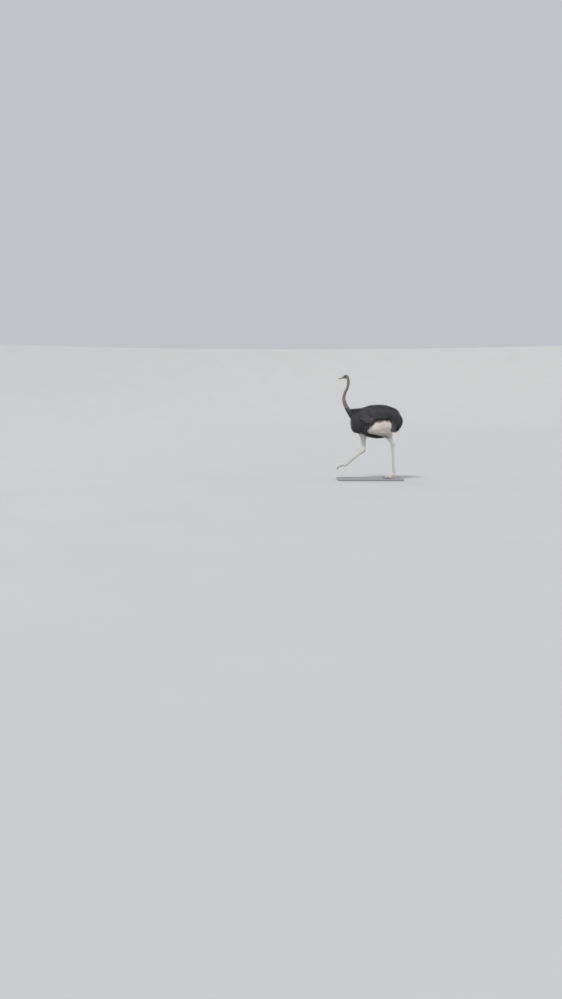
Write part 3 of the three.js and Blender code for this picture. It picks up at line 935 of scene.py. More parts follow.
def plumes(path, up, wide, barbs, rng, thick=0.0021):
    """One plume for each path. path and up are (n, points, 3), and wide (n) is the vane's half width.
    Every barb is a tapered blade on one side of the shaft that bends towards the tip and hangs."""
    n, steps = path.shape[:2]
    bends, loose = len(BARB_WIDTHS), BARB_LOOSE
    along = unit(np.gradient(path, axis=1))
    across = unit(np.cross(along, up))
    length = np.linalg.norm(np.diff(path, axis=1), axis=2).sum(1)
    at = BARE_SHAFT + (1 - BARE_SHAFT) * (np.arange(2 * barbs) % barbs + 0.5) / barbs
    at = np.clip(at[None] + rng.normal(0, 0.45 / barbs, (n, 2 * barbs)), BARE_SHAFT, 1)
    side = np.repeat([1.0, -1.0], barbs)[None]
    root, t, s, o = (pick(v, at) for v in (path, along, across, np.cross(across, along)))
    profile = np.sin(np.pi * at**0.8 * 0.84 + 0.3) ** 0.7
    reach = wide[:, None] * profile * rng.uniform(0.72, 1.22, at.shape)
    angle = np.radians(np.interp(at, [0, 0.5, 1], [50, 36, 9])) + rng.normal(0, loose, at.shape)
    lean = rng.normal(0.03, loose * 0.6, at.shape)
    span = reach / np.maximum(np.sin(np.maximum(angle, 0.42)), 0.42)
    span = np.minimum(span, length[:, None] * 0.40) / bends * 1.1
    turn = BARB_CURL + rng.normal(0.0, loose, at.shape)
    half = (thick * rng.uniform(0.7, 1.3, at.shape) / 2)[..., None]
    spot, rows = root, []
    for width in BARB_WIDTHS:
        flat = t * np.cos(angle)[..., None] + s * (side * np.sin(angle))[..., None]
        heading = unit(flat + o * lean[..., None])
        blade = unit(np.cross(o, heading)) * half * width
        rows += [spot - blade, spot + blade]
        spot = spot + heading * span[..., None]
        angle, lean = angle - turn, lean - BARB_DROOP
    points = np.stack([*rows, spot], 2)
    m, each = points.shape[1], 2 * bends + 1
    base = np.arange(n * m)[:, None] * each
    quads = [base + np.array([[2 * k, 2 * k + 1, 2 * k + 3, 2 * k + 2]]) for k in range(bends - 1)]
    barb_faces = [*quads, base + np.array([[each - 3, each - 2, each - 1]])]
    barb_out = np.append(np.repeat(np.arange(bends) / bends, 2), 1.0)

    # The shaft: a narrow ribbon that tapers to the tip.
    edge = across * (thick * 0.45 * np.linspace(1.0, 0.25, steps))[None, :, None]
    shaft = np.stack([path - edge, path + edge], 2)
    k = np.arange(steps - 1) * 2
    quad = np.stack([k, k + 1, k + 3, k + 2], -1)
    shaft_faces = (np.arange(n) * steps * 2)[:, None, None] + quad[None]
    barb_part = (points.reshape(-1, 3), barb_faces)
    vertices, faces = joined([barb_part, (shaft.reshape(-1, 3), [shaft_faces.reshape(-1, 4)])])
    share = [np.repeat(at.ravel(), each), np.tile(np.repeat(np.linspace(0, 1, steps), 2), n)]
    outward = [np.tile(barb_out, n * m), np.zeros(n * steps * 2)]
    owner = [np.repeat(np.arange(n), m * each), np.repeat(np.arange(n), steps * 2)]
    return Tufts(vertices, faces, *(np.concatenate(v) for v in (owner, share, outward)))


def tufts(root, direction, out, length, blades, thick, rng):
    """Small tufts: each is a few tapered blades from one root, lying along its direction."""
    n = len(root)
    across = unit(np.cross(direction, out))
    turn = rng.normal(0, 0.35, (n, blades))
    rise = np.abs(rng.normal(0.25, 0.125, (n, blades)))
    size = length[:, None] * rng.uniform(0.7, 1.2, (n, blades))
    d, a, o = direction[:, None], across[:, None], out[:, None]
    first = unit(d * np.cos(turn)[..., None] + a * np.sin(turn)[..., None] + o * rise[..., None])
    second = unit(first - o * (rise * 1.5)[..., None] + d * 0.2)
    begin = root[:, None] + a * rng.normal(0, thick, (n, blades))[..., None]
    mid, half = begin + first * (size * 0.5)[..., None], a * thick / 2
    end = mid + second * (size * 0.5)[..., None]
    points = np.stack([begin - half, begin + half, mid + half * 0.8, mid - half * 0.8, end], 2)
    base = np.arange(n * blades)[:, None] * 5
    faces = [base + np.array([[0, 1, 2, 3]]), base + np.array([[3, 2, 4]])]
    share = np.tile([0, 0, 0.5, 0.5, 1.0], n * blades)
    return Tufts(points.reshape(-1, 3), faces, np.repeat(np.arange(n), blades * 5), share, share)


def coat_piece(name, made, unwrapped, tone, pale, paint, slot="plumage_black"):
    """A coat piece from Tufts, with a small patch of its map for each of them."""
    vertices, faces, owner, share, outward = made
    proud = np.maximum(np.abs(vertices[:, 0]) - COAT_SIDE, 0)
    vertices[:, 0] -= np.sign(vertices[:, 0]) * (proud - COAT_PROUD * (1 - np.exp(-proud / COAT_PROUD)))
    piece = build(name, vertices, faces)
    numbers(piece, "tone", tone[owner])
    numbers(piece, "pale", np.clip(pale, 0, 1))
    numbers(piece, "out", outward)
    patch = unwrapped[owner] + (np.stack([outward, share], -1) - 0.5) * 0.003
    corner = fetched(piece.data.loops, "vertex_index", 1, np.int32)[:, 0]
    layer = piece.data.uv_layers.new(name="OFBake")
    layer.data.foreach_set("uv", np.clip(patch[corner], 0.001, 0.999).astype(np.float32).ravel())
    return finish(piece, paint, slot)


class Hide:
    """The skin as something plumes can be laid along, with what is known of each of its triangles."""

    def __init__(self, skin, label, unwrapped, zones):
        mesh = skin.data
        mesh.calc_loop_triangles()
        self.points = fetched(mesh.vertices, "co", 3).astype(float)
        self.triangles = fetched(mesh.loop_triangles, "vertices", 3, np.int32)
        self.tree = BVHTree.FromPolygons(self.points.tolist(), self.triangles.tolist())
        a, b, c = (self.points[self.triangles[:, k]] for k in range(3))
        cross = np.cross(b - a, c - a)
        self.area, self.normal = np.linalg.norm(cross, axis=1) / 2, unit(cross)
        self.at = unplace((a + b + c) / 3)
        self.zone = zones[self.triangles].mean(1)
        first = self.triangles[:, 0]
        self.label, self.unwrapped = label[first], unwrapped[first]

    def scatter(self, spacing, rng, crowd=3.0):
        """Roots spread over the triangles whose spacing isn't 0, and the triangle of each."""
        use = spacing > 0
        wanted = np.where(use, self.area / np.maximum(spacing, 1e-6) ** 2, 0) * crowd
        chosen = rng.choice(len(wanted), int(wanted.sum()), p=wanted / wanted.sum())
        u, v = rng.uniform(size=(2, len(chosen)))
        over = u + v > 1
        u[over], v[over] = 1 - u[over], 1 - v[over]
        a, b, c = (self.points[self.triangles[chosen, k]] for k in range(3))
        points = a + (b - a) * u[:, None] + (c - a) * v[:, None]
        tree = tree_of(points)
        alive, kept = np.ones(len(points), bool), []
        for i in range(len(points)):
            if alive[i]:
                kept.append(i)
                for _, j, _ in tree.find_range(points[i], spacing[chosen[i]] * 0.92):
                    alive[j] = False
        return points[kept], chosen[kept]

    def nearest(self, points):
        """The skin's nearest points, its normals there and the triangles that they lie on."""
        spots, normals = np.zeros_like(points), np.zeros_like(points)
        faces = np.zeros(len(points), int)
        for i, point in enumerate(points):
            spots[i], normals[i], faces[i], _ = self.tree.find_nearest(point)
        return spots, normals, faces

    def comb(self, roots, flow, length, steps):
        """Paths (n, steps + 1, 3) along the skin from the roots, following flow, with the normals and
        triangles that they pass over."""
        found = [self.nearest(roots)]
        for k in range(steps):
            spots, normals, _ = found[-1]
            heading = flow(spots, normals, k / steps)
            heading = unit(heading - normals * (heading * normals).sum(1, keepdims=True))
            spots, fresh, faces = self.nearest(spots + heading * (length / steps)[:, None])
            found.append((spots, unit(normals * 0.45 + fresh * 0.55), faces))
        return [np.stack(rows, 1) for rows in zip(*found)]


# ---------------------------------------------------------------- eyes, bill, claws, scutes, base


def make_eye(side, paint):
    """An eyeball with a clear bulge over the iris, turned along the eye's outward axis."""
    centre, outward, forward, upward = EYES[side]
    turn, around = np.linspace(0, np.pi, 49), 64
    bulge = EYE_RADIUS + 0.9 * np.exp(-((turn / 0.52) ** 4))
    t, a = turn[1:-1, None, None], (np.arange(around) * (TURN / around))[None, :, None]
    ring = np.cos(t) * outward + np.sin(t) * (np.cos(a) * forward + np.sin(a) * upward)
    points = centre + ring * bulge[1:-1, None, None]
    if np.dot(np.cross(forward, upward), outward) > 0:
        points = points[:, ::-1]
    vertices, faces = tube(place(from_head(points)))
    vertices[-2:] = place(from_head(centre + np.array([outward * bulge[0], -outward * bulge[-1]])))
    eye = build("eyeball_" + side, vertices, faces)
    numbers(eye, "turn", np.concatenate([np.repeat(turn[1:-1], around), [0, np.pi]]))
    return finish(eye, paint, "eye", "eye_" + side)


def make_lashes(side, paint):
    """Stiff bristles on both lids' edges: thin tapered three-sided spikes."""
    rng = np.random.default_rng(31)
    centre, outward, forward, upward = EYES[side]
    spin = np.radians([90, 210, 330])[:, None]
    parts = []
    # For each lid: how many there are, from which angle to which round the eye, and how long.
    for count, low, high, size in ((34, 14, 166, 12.5), (20, 200, 340, 5.5)):
        for around in np.radians(np.linspace(low, high, count)) + rng.normal(0, 0.03, count):
            edge = lid_edge(around) * 1.02
            radial = math.cos(around) * forward + math.sin(around) * upward
            heading = math.cos(edge) * outward + math.sin(edge) * radial
            root = centre + heading * (EYE_RADIUS + 1.7)
            out = unit(heading * 0.75 + radial * rng.uniform(0.5, 0.8))
            bend = unit(out + radial * 0.7)
            reach = size * rng.uniform(0.7, 1.15) * (0.7 + 0.3 * abs(math.sin(around)))
            sway = forward * rng.normal(0, 0.12)
            out, bend = unit(out + sway), unit(bend + sway * 2)
            line = [root, root + out * reach * 0.4, root + out * reach * 0.45 + bend * reach * 0.55]
            beside = unit(np.cross(heading, radial))
            section = beside * np.cos(spin) + np.cross(out, beside) * np.sin(spin)
            rings = [spot + section * thick for spot, thick in zip(line, (0.32, 0.24, 0.05))]
            parts.append(tube(place(from_head(np.array(rings)))))
    lashes = build("lashes_" + side, *joined(parts))
    numbers(lashes, "dark", np.full(len(lashes.data.vertices), 0.6))
    return finish(lashes, paint, "claw_horn")


def make_bill(name, rows, paint, upper):
    """A bill half: a raised middle ridge and nail, nostrils on the upper one, and a rolled edge."""
    loft = Loft(rows, (0, 12), FORWARD)
    u, angle, points = loft.grid(110, 72)
    row = loft.frame(u)[0][:, None]
    y = row[..., 1]
    side = np.abs((points[..., 0] - row[..., 0]) / np.maximum(row[..., 3], 1))
    over = np.sin(angle)[None] * (1 if upper else -1)
    tip = step(-104, -122, y)
    face = step(0.0, 0.35, over)
    out, dark = np.zeros(points.shape[:2]), np.zeros(points.shape[:2])
    if upper:
        ridge = step(0.42, 0.30, side) * (1 - tip)
        out += 1.5 * ridge * face - 0.9 * bump_at(side, 0.52, 0.10) * face * (1 - tip)
        out += 0.9 * step(0.9, 0.5, side) * tip * face
        hole = np.hypot((y + 86) / 9.5, (side - 0.60) / 0.17)
        out -= 3.6 * step(1.0, 0.35, hole) * face
        out += 0.8 * bump_at(hole, 1.2, 0.22) * face
        # Painted shade darkens the nostrils' hollows; the nail's darker tone is its own.
        dark += step(1.15, 0.55, hole) * face + 0.35 * tip
    else:
        out += 0.6 * step(0.5, 0.2, side) * face - 0.5 * bump_at(side, 0.62, 0.1) * face
    out += 0.5 * bump_at(over, 0.10, 0.10)
    out += 0.10 * np.sin(y * 0.9 + 2 * ripple(points, 30, 23)) * face + 0.1 * ripple(points, 9, 21)
    points = points + unit(points - row[..., :3]) * out[..., None]
    bill = build(name + "_horn", *tube(place(from_head(points))))
    # Painted shade along the closing edges; the blotches are the horn's own.
    dark += 0.15 * bump_at(over, 0.06, 0.08) + 0.14 * step(0.5, 0.9, ripple(points, 22, 22) * 0.5 + 0.5)
    dark += 0.3 * step(-66, -52, y)
    numbers(bill, "dark", np.clip(np.concatenate([dark.ravel(), [0, 0.3]]), 0, 1))
    return finish(bill, paint, "bill_horn", name)


def make_claw(name, rows, paint):
    """A blunt nail: a curved top plate over a flatter pad, with growth ridges."""
    loft = Loft(rows, (3, 9), None, 2.2)
    u, angle, points = loft.grid(48, 40)
    row = loft.frame(u)[0]
    over = np.sin(angle)[None]
    grooves = 0.16 * np.sin(u * 46)[:, None] * step(0.0, 0.4, over)
    flat = -0.16 * row[:, None, 5] * step(-0.2, -0.9, over)
    away = unit(points - row[:, None, :3])
    points = points + away * (grooves + flat + 0.12 * ripple(points, 6, 33))[..., None]
    points[..., 2] = np.maximum(points[..., 2], SOLE_GAP)
    claw = build(name + "_horn", *tube(place(points)))
    dark = 0.5 * step(0.1, -0.4, over) + 0.5 * step(0.75, 1.0, u)[:, None]
    numbers(claw, "dark", np.clip(np.concatenate([dark.ravel(), [0.5, 0.6]]), 0, 1))
    return finish(claw, paint, "claw_horn", name)


def scutes(loft, shares, half_turn, lift, stand, rng):
    """Overlapping shields down the front of a shin or toe, each a curved solid plate, and their tones.
    Each runs from one of the shares of the loft's length past the next, and stands up by lift at its end."""
    parts, tones = [], []
    along, side = np.linspace(0, 1, 6), np.linspace(-1, 1, 13)
    edge = 1 - np.abs(side) ** 4
    dome = 0.5 * np.sin(np.linspace(0.1, 1, len(along)) * np.pi)[:, None]
    rise = stand + lift * along[:, None] ** 1.6
    grow = (rise + dome) * (0.35 + 0.65 * edge[None])
    worn = (1 - edge)[None] * 0.6 + 0.5 * step(0.75, 1.0, along)[:, None]
    for start, end in zip(shares[:-1], shares[1:]):
        turn = half_turn * (1 + rng.normal(0, 0.06))
        angle = math.pi / 2 + rng.normal(0, 0.03) + turn * side
        bow = (end - start) * 0.10 * (1 - side**2)
        u = np.clip((start + (end - start) * 1.16 * along)[:, None] + bow[None], 0, 1)
        layers = [loft.at(u, angle[None], grow=out).reshape(-1, 3) for out in (grow, -1.2)]
        parts.append((place(np.concatenate(layers)), [plate_faces(len(along), len(side))]))
        tones.append(np.tile(np.clip(worn * 0.7 + rng.uniform(0, 0.25), 0, 1).ravel(), 2))
    return parts, tones


def make_scutes(side, paint):
    """The rows of plates down a leg: one on the tarsus and one on each toe."""
    rng = np.random.default_rng(41 if side == "left" else 42)
    count = 22
    shares = 0.20 + 0.735 * np.linspace(0, 1, count + 1)
    parts, tones = scutes(tarsus_loft(side), shares, math.radians(58), 1.5, 0.9, rng)
    for toe, count, half_turn in (("inner_", 9, 62), ("outer_", 7, 60)):
        shares = np.linspace(0.16, 0.93, count + 1)
        more = scutes(toe_loft(toe + side), shares, math.radians(half_turn), 1.1, 1.0, rng)
        parts, tones = parts + more[0], tones + more[1]
    plates = build("scutes_" + side, *joined(parts))
    numbers(plates, "dark", np.concatenate(tones))
    return finish(plates, paint, "leg_scales")


def make_base(paint):
    """The flat base, with rounded corners and a soft edge."""
    corner, edge, turns = 70, 5, 14
    lo, hi = unplace(BASE_LO), unplace(BASE_HI)
    middle, half = (lo + hi) / 2, (hi - lo) / 2
    worn = (0, 0.42, 0.54, 0.12)
    profile = [(0, 7), (0, edge), (0.3 * edge, 0.3 * edge), (edge, 0)]  # below the face, in from the side
    levels = [(-1, *at) for at in profile] + [(1, *at) for at in reversed(profile)]
    outline = []
    for up, below, back in levels:
        ring = []
        for k, (sx, sy) in enumerate(((1, -1), (1, 1), (-1, 1), (-1, -1))):
            for a in np.radians(np.linspace(-90, 0, turns) + 90 * k):
                x = sx * (half[0] - corner) + math.cos(a) * (corner - back)
                y = sy * (half[1] - corner) + math.sin(a) * (corner - back)
                ring.append(middle + [x, y, up * (half[2] - below)])
        outline.append(ring)
    plate = build("base_plate", *tube(place(outline)))
    numbers(plate, "edge", np.append(np.repeat([*worn, *reversed(worn)], len(outline[0])), [0, 0]))
    for face in plate.data.polygons:
        face.use_smooth = abs(face.normal.z) < 0.98
    return finish(plate, paint, "base_paint", "stand_base")


# ---------------------------------------------------------------- the stage


def make_stage():
    """A plain floor that is level near the bird and rises far from it. Its sizes are in metres."""
    level, rim, around = 40, 20, 96
    paint = Paint("stage_floor", Roughness=0.85)
    tint = paint.mix(paint.noise(0.8), rgb(0.50, 0.50, 0.497), rgb(0.53, 0.53, 0.527))
    paint.link(tint, "Base Color")
    radii = np.concatenate([np.linspace(0.5, level, 24), level + rim * np.linspace(0.05, 1, 16)])[:, None]
    height = np.where(radii > level, (radii - level) ** 2 / (3 * rim), 0)
    angle = np.arange(around) * (TURN / around)
    points = np.stack(np.broadcast_arrays(radii * np.cos(angle), radii * np.sin(angle), height), -1)
    points = points.reshape(-1, 3)
    vertices = np.append(points, [[0, 0, 0]], 0) + [0, 0, CAD_BOX[0].z - 0.0005]
    faces = [ring_quads(len(radii), around), ring_fan(len(points), 0, around)]
    floor = build("studio_floor", vertices, faces)
    floor.data.materials.append(paint.material)


def make_lights():
    """A soft key, a fill from the other side and a light from behind, under a pale sky."""
    world = bpy.data.worlds.new("studio")
    bpy.context.scene.world = world
    world.use_nodes = True
    sky = world.node_tree.nodes["Background"]
    sky.inputs["Color"].default_value = rgb(0.88, 0.92, 0.97)
    sky.inputs["Strength"].default_value = 0.60
    for name, heading, energy, size, tint in (
        ("key", (-0.50, 0.32, -0.80), 1.9, 14, (1.0, 0.985, 0.96)),
        ("fill", (0.65, 0.45, -0.50), 0.40, 45, (0.95, 0.97, 1.0)),
        ("back", (0.15, -0.85, -0.40), 0.45, 40, (1.0, 1.0, 1.0)),
    ):
        light = bpy.data.lights.new(name, "SUN")
        light.energy, light.angle, light.color = energy, math.radians(size), tint
        lamp = bpy.data.objects.new(name, light)
        lamp.rotation_euler = Vector(heading).to_track_quat("-Z", "Y").to_euler()
        bpy.context.scene.collection.objects.link(lamp)


def make_camera():
    """Far off and near the ground, looking along -X and a little down."""
    camera = bpy.data.cameras.new("camera")
    camera.lens, camera.sensor_width, camera.clip_end = 29.4, 36, 200
    held = bpy.data.objects.new("camera", camera)
    held.location = place(CAMERA_AT)
    aim = Vector((-math.cos(CAMERA_PITCH), 0, -math.sin(CAMERA_PITCH)))
    held.rotation_euler = aim.to_track_quat("-Z", "Y").to_euler()
    bpy.context.scene.collection.objects.link(held)
    bpy.context.scene.camera = held
    bpy.context.scene.view_settings.view_transform = "Standard"
# ---------------------------------------------------------------- the coat


def coat_depth(p, label, u):
    """The room for plumes over the skin, in millimetres, at points of the skin."""
    depth = np.interp(-p[:, 1], -STATIONS, TRUNK_DEPTHS)
    depth = depth - np.interp(-p[:, 1], -STATIONS, BELLY_FILL) * step(960, 830, p[:, 2])
    along = np.linspace(0, 1, len(NECK_DEPTHS))
    depth = np.where(label == ON_NECK, np.interp(u, along, NECK_DEPTHS), depth)
    return np.where(label == ON_LEG, np.interp(p[:, 2], [1000, 1060, 1140], [10, 26, 40]), depth)


def bare_flank(p):
    """1 where the thigh's bare skin runs on over the flank in front of it, under the left wing."""
    x, y, z = p.T
    ahead = y - (-104 + 0.42 * (z - 910) + 6 * ripple(p, 30, 58))
    top = 1068 + 5 * ripple(p, 26, 59) - z
    return ((x > 120) & (y < 170) & (z > 840)) * step(-4, 4, np.minimum(ahead, top))


def body_flow(spots, normals, share):
    """The way the body's plumes lie: rearwards and down, straight down the breast, over the rump."""
    p = unplace(spots)
    _, y, z = p.T
    breast, rump = step(-210, -370, y), step(360, 470, y)
    collar = step(1130, 1210, z) * step(-330, -380, y)
    drop = 0.10 + 0.50 * np.abs(normals[:, 0]) + 1.5 * breast + 1.3 * rump + 0.5 * share
    heading = REARWARD + DOWN * drop[:, None]
    heading[:, 1] -= 0.55 * breast * (1 - collar)
    sway = np.cross(normals, REARWARD)
    return heading + sway * (0.30 * ripple(p, 150, 51) + 0.18 * ripple(p, 45, 52))[:, None]


def body_spacing(hide, open_flank, edge, rng):
    """The room between the body's plumes on each triangle of the skin, or 0 where none grow."""
    x, y, z = hide.at.T
    zone = hide.zone
    hem = HEM + 20 * ripple(hide.at, 60, 55) + rng.normal(0, 19, len(z))
    plumed = zone[:, ON_TRUNK] + zone[:, ON_NECK] * (z < hem) + zone[:, ON_LEG] * (z > BARE_TOP)
    shoulder = bump_at(np.abs(x), 95, 40) * bump_at(y, -330, 50) * bump_at(z, 1145, 50)
    # Under the folded wings the plumes are hidden, so they are few.
    covered = step(0.5, 0.7, np.abs(hide.normal[:, 0])) * (y > -170) * (y < 290) * (z > 1120) * (z < 1215)
    belly = step(-0.5, -0.9, hide.normal[:, 2]) * bump_at(y, 80, 110)
    gap = (0.0162 - 0.0064 * edge) * (1 + 0.9 * covered - 0.3 * shoulder - 0.24 * belly)
    return np.where(plumed * ~open_flank > 0.5, gap, 0)


def make_body_coat(hide, paint):
    """Soft, loose plumes over the trunk and the base of the neck."""
    rng = np.random.default_rng(61)
    zone, steps = hide.zone, 8
    open_flank = bare_flank(hide.at) > 0.5
    edge = np.clip(zone[:, ON_LEG] * 2 + zone[:, ON_NECK] * 2, 0, 1)
    roots, owner = hide.scatter(body_spacing(hide, open_flank, edge, rng), rng)
    at, label, places = unplace(roots), hide.label[owner], hide.unwrapped[owner]
    breast, rump = step(-200, -380, at[:, 1]), step(380, 470, at[:, 1])
    length = 168 - 58 * breast - 30 * rump - 70 * edge[owner]
    on_neck = np.interp(at[:, 2], [1120, 1200, 1310], [120, 92, 40])
    length = np.where(label == ON_NECK, on_neck, length) * rng.uniform(0.80, 1.22, len(length)) * MM
    # A plume that would lie over the bare thigh is shortened so that only its end reaches over the edge.
    bare = (zone[:, ON_LEG] > 0.5) & (hide.at[:, 2] < BARE_TOP) | open_flank
    bare = bare[hide.comb(roots, body_flow, length, steps)[2]]
    clear = np.where(bare.any(1), bare.argmax(1), steps) / steps
    length = np.minimum(length, length * clear + rng.uniform(0.004, 0.030, len(length)))
    paths, out, _ = hide.comb(roots, body_flow, length, steps)
    # The belly's plumes hang well below the body.
    hanging = step(-0.5, -0.9, out[:, 0, 2]) * bump_at(at[:, 1], 40, 190)
    depth = coat_depth(at, label, places[:, 0]) * (1 + 0.35 * hanging)
    share = np.linspace(0, 1, steps + 1)[None]
    rise = np.sin(share * np.pi / 2 * 0.98) ** 0.85 * rng.uniform(0.72, 1.04, (len(roots), 1))
    flick = step(0.6, 1.0, share) * rng.normal(0, 0.13, (len(roots), 1))
    paths = paths + out * ((rise + flick) * (depth * MM)[:, None])[..., None]
    wide = length * rng.uniform(0.20, 0.28, len(length))
    tone = tones(rng, 0.35 + 0.25 * ripple(at, 260, 53), 0.20, len(at))
    part = np.digitize(at[:, 1], [-254, -45, 180])
    for k, name in enumerate(("breast", "front", "middle", "rear")):
        own = np.nonzero(part == k)[0]
        made = plumes(paths[own], out[own], wide[own], 25, rng)
        # Painted sheen: the barbs pale towards their ends and the plume's tip.
        pale = 0.16 * made.outward * made.share
        coat_piece("coat_body_" + name, made, places[own], tone[own], pale, paint)


def wing_line(points, u):
    """Places on a smooth line through [y, z] points, at shares u of the way along."""
    row, _ = smooth_rows([[0, y, z] for y, z in points])
    return row(np.clip(u, 0, 1))[..., 1:][:, None]


class Wing:
    """Where a folded wing's plumes lie: between the trunk's coat (0) and the wing's outside (1)."""

    def __init__(self, side):
        self.side, self.sign = side, SIDES[side]
        self.table = Loft(TRUNK).row(np.linspace(0, 1, 200))

    def at(self, y, z, share):
        """Points at [y, z] of the side view, at shares of the way out."""
        _, station, *rest = self.table.T
        middle, wide, above, below = (np.interp(-y, -station, values) for values in rest)
        tall = np.where(z > middle, above, below)
        round_off = np.maximum(1 - np.abs((z - middle) / tall) ** 2.15, 0.02) ** (1 / 2.15)
        x = wide * (1 + (SHELL_SWELL - 1) * share) * round_off
        return np.stack([self.sign * x, y, z], -1)

    def lay(self, u, start, end, low, high, steps=9):
        """Paths from the line of roots (0) towards the line of tips (1), and the way out from each."""
        share = np.linspace(0, 1, steps)[None]
        w = (start[:, None] + (end - start)[:, None] * share)[..., None]
        flat = bowed(wing_line(WING_ROOTS, u), wing_line(WING_TIPS, u + WING_SWEEP), WING_BOW, w)
        y, z = np.moveaxis(flat, -1, 0)
        lift = low[:, None] + (high - low)[:, None] * np.sin(share * np.pi / 2)
        path = self.at(y, z, lift)
        out = self.at(y, z, lift + 1) - path
        out = unit(out - DOWN * 0.25 * np.linalg.norm(out, axis=-1, keepdims=True))
        return place(path), out


def near_spot(path, at, size):
    """How near each path ends to [y, z], a spot over the front of the thigh where the wing is worn pale."""
    end = unplace(path[:, -1])
    return bump_at(end[:, 1], at[0], size) * bump_at(end[:, 2], at[1], 40)


def make_wing_plumes(wing, rng, paint):
    """Long plumes, from the arm to the wing's edge, in three layers."""
    layers, per_layer = 3, 48
    u = np.tile(np.linspace(-WING_SWEEP, 1.0, per_layer), layers) + rng.normal(0, 0.010, layers * per_layer)
    layer = np.repeat(np.arange(layers) * 1.0, per_layer)
    end = np.clip(1.0 - 0.09 * layer + rng.normal(0, 0.035, len(u)), 0.5, 1.06)
    path, out = wing.lay(u, 0.18 + 0.05 * layer, end, -0.2 + 0.25 * layer, 0.35 + 0.25 * layer)
    made = plumes(path, out, rng.uniform(0.030, 0.042, len(u)), 46, rng, LONG_BARB)
    late = step(0.80, 0.97, u)
    tips = (rng.uniform(size=len(u)) < 0.10 + 0.55 * late) * rng.uniform(0.3, 1.0, len(u)) * late
    tips = np.maximum(tips, 0.4 * near_spot(path, (-75, 1095), 34))
    tone = np.clip(0.30 + rng.normal(0, 0.16, len(u)) + 0.2 * late, 0, 1)
    places = np.stack([u * 0.7 + 0.25, 0.1 + 0.03 * layer], -1)
    pale = tips[made.owner] * step(0.70, 0.95, made.share)
    coat_piece("wing_plumes_" + wing.side, made, places, tone, pale, paint)


def make_rump_plumes(wing, rng, paint):
    """Plumes that hang from the rump's side over the rear edge of the thigh."""
    count = 96
    share = np.linspace(0, 1, 9)[None]
    begin_y, begin_z = (rng.uniform(low, high, (count, 1)) for low, high in ((285, 400), (1060, 1150)))
    end_y, end_z = (rng.uniform(low, high, (count, 1)) for low, high in ((306, 400), (868, 985)))
    bow = rng.uniform(4, 22, (count, 1)) * 4 * share * (1 - share)
    y = begin_y + (end_y - begin_y) * share + bow
    z = begin_z + (end_z - begin_z) * share**1.25
    x = np.interp(y, [280, 305, 340, 365, 425], [228, 222, 203, 168, 116])
    x = x + rng.uniform(-16, 12, (count, 1))
    path = np.stack([wing.sign * x, y, z], -1)
    out = np.broadcast_to(unit(np.array([wing.sign, 0.35, 0.1])), path.shape)
    made = plumes(place(path), out, rng.uniform(0.024, 0.036, count), 34, rng, LONG_BARB)
    tone = tones(rng, 0.32, 0.18, count)
    places = np.stack([y[:, 0] / 500, z[:, 0] / 1300], -1)
    coat_piece("rump_plumes_" + wing.side, made, places, tone, 0.15 * made.share, paint)


def make_coverts(wing, rng, paint):
    """Rows of shorter plumes over the long ones, from the bend to halfway down."""
    rows, per_row = 12, 44
    row = np.repeat(np.arange(rows), per_row)
    u = rng.uniform(-WING_SWEEP, 1.0, rows * per_row)
    start = -0.10 + 0.068 * row + rng.normal(0, 0.030, len(u))
    reach = 0.30 + 0.012 * row + rng.normal(0, 0.03, len(u))
    low, high = np.full(len(u), 0.30), rng.uniform(0.66, 0.90, len(u))
    path, out = wing.lay(u, start, np.minimum(start + reach, 1.02), low, high, 7)
    wide = np.interp(row, [0, rows], [0.017, 0.030]) * rng.uniform(0.85, 1.15, len(u))
    made = plumes(path, out, wide, 22, rng)
    tone = tones(rng, 0.30, 0.18, len(u))
    grey = 0.26 * near_spot(path, (-80, 1100), 36)
    places = np.stack([u * 0.7 + 0.25, 0.25 + 0.05 * row], -1)
    # The outward part is painted sheen on barb ends; grey is the real worn pale spot.
    pale = (0.12 * made.outward + grey[made.owner]) * made.share
    coverts = coat_piece("wing_coverts_" + wing.side, made, places, tone, pale, paint)
    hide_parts("wing_" + wing.side)


def make_mantle(paint):
    """Plumes from the nape's foot that bridge the hollow between the neck and the back."""
    rng = np.random.default_rng(77)
    neck, trunk = Loft(inset(NECK, NECK_DEPTHS)), Loft(TRUNK, (0, 0), FORWARD, 2.15)
    count = 320
    angle = np.radians(90 + np.clip(rng.normal(0, 44, count), -84, 84))
    root = neck.at(rng.uniform(0.04, 0.25, count), angle, share=0.95)
    reach = root[:, 1] + rng.uniform(150, 230, count)
    along = np.interp(-reach, -STATIONS, np.linspace(0, 1, len(STATIONS))) + rng.normal(0, 0.01, count)
    end = trunk.at(along, np.pi / 2 + (angle - np.pi / 2) * 0.72, share=rng.uniform(0.84, 0.965, count))
    share = np.linspace(0, 1, 10)[None, :, None]
    # Two in five sag, to fill the hollow under the others.
    lift = rng.uniform(-13, 6, (count, 1))
    lift = lift - (rng.uniform(size=(count, 1)) < 0.4) * rng.uniform(8, 34, (count, 1))
    bow = np.array([0, 0.1, 1.0]) * lift + LEFT * (np.sign(root[:, :1]) * 6)
    path = bowed(root[:, None], end[:, None], bow[:, None], share)
    out = unit(path - np.array([0, -330, 1080]))
    made = plumes(place(path), out, rng.uniform(0.026, 0.036, count), 30, rng)
    tone = tones(rng, 0.32, 0.18, count)
    places = np.stack([along * 0.5, angle / np.pi * 0.9], -1)
    # The paler barb ends are painted sheen.
    coat_piece("mantle_plumes", made, places, tone, 0.12 * made.outward * made.share, paint)


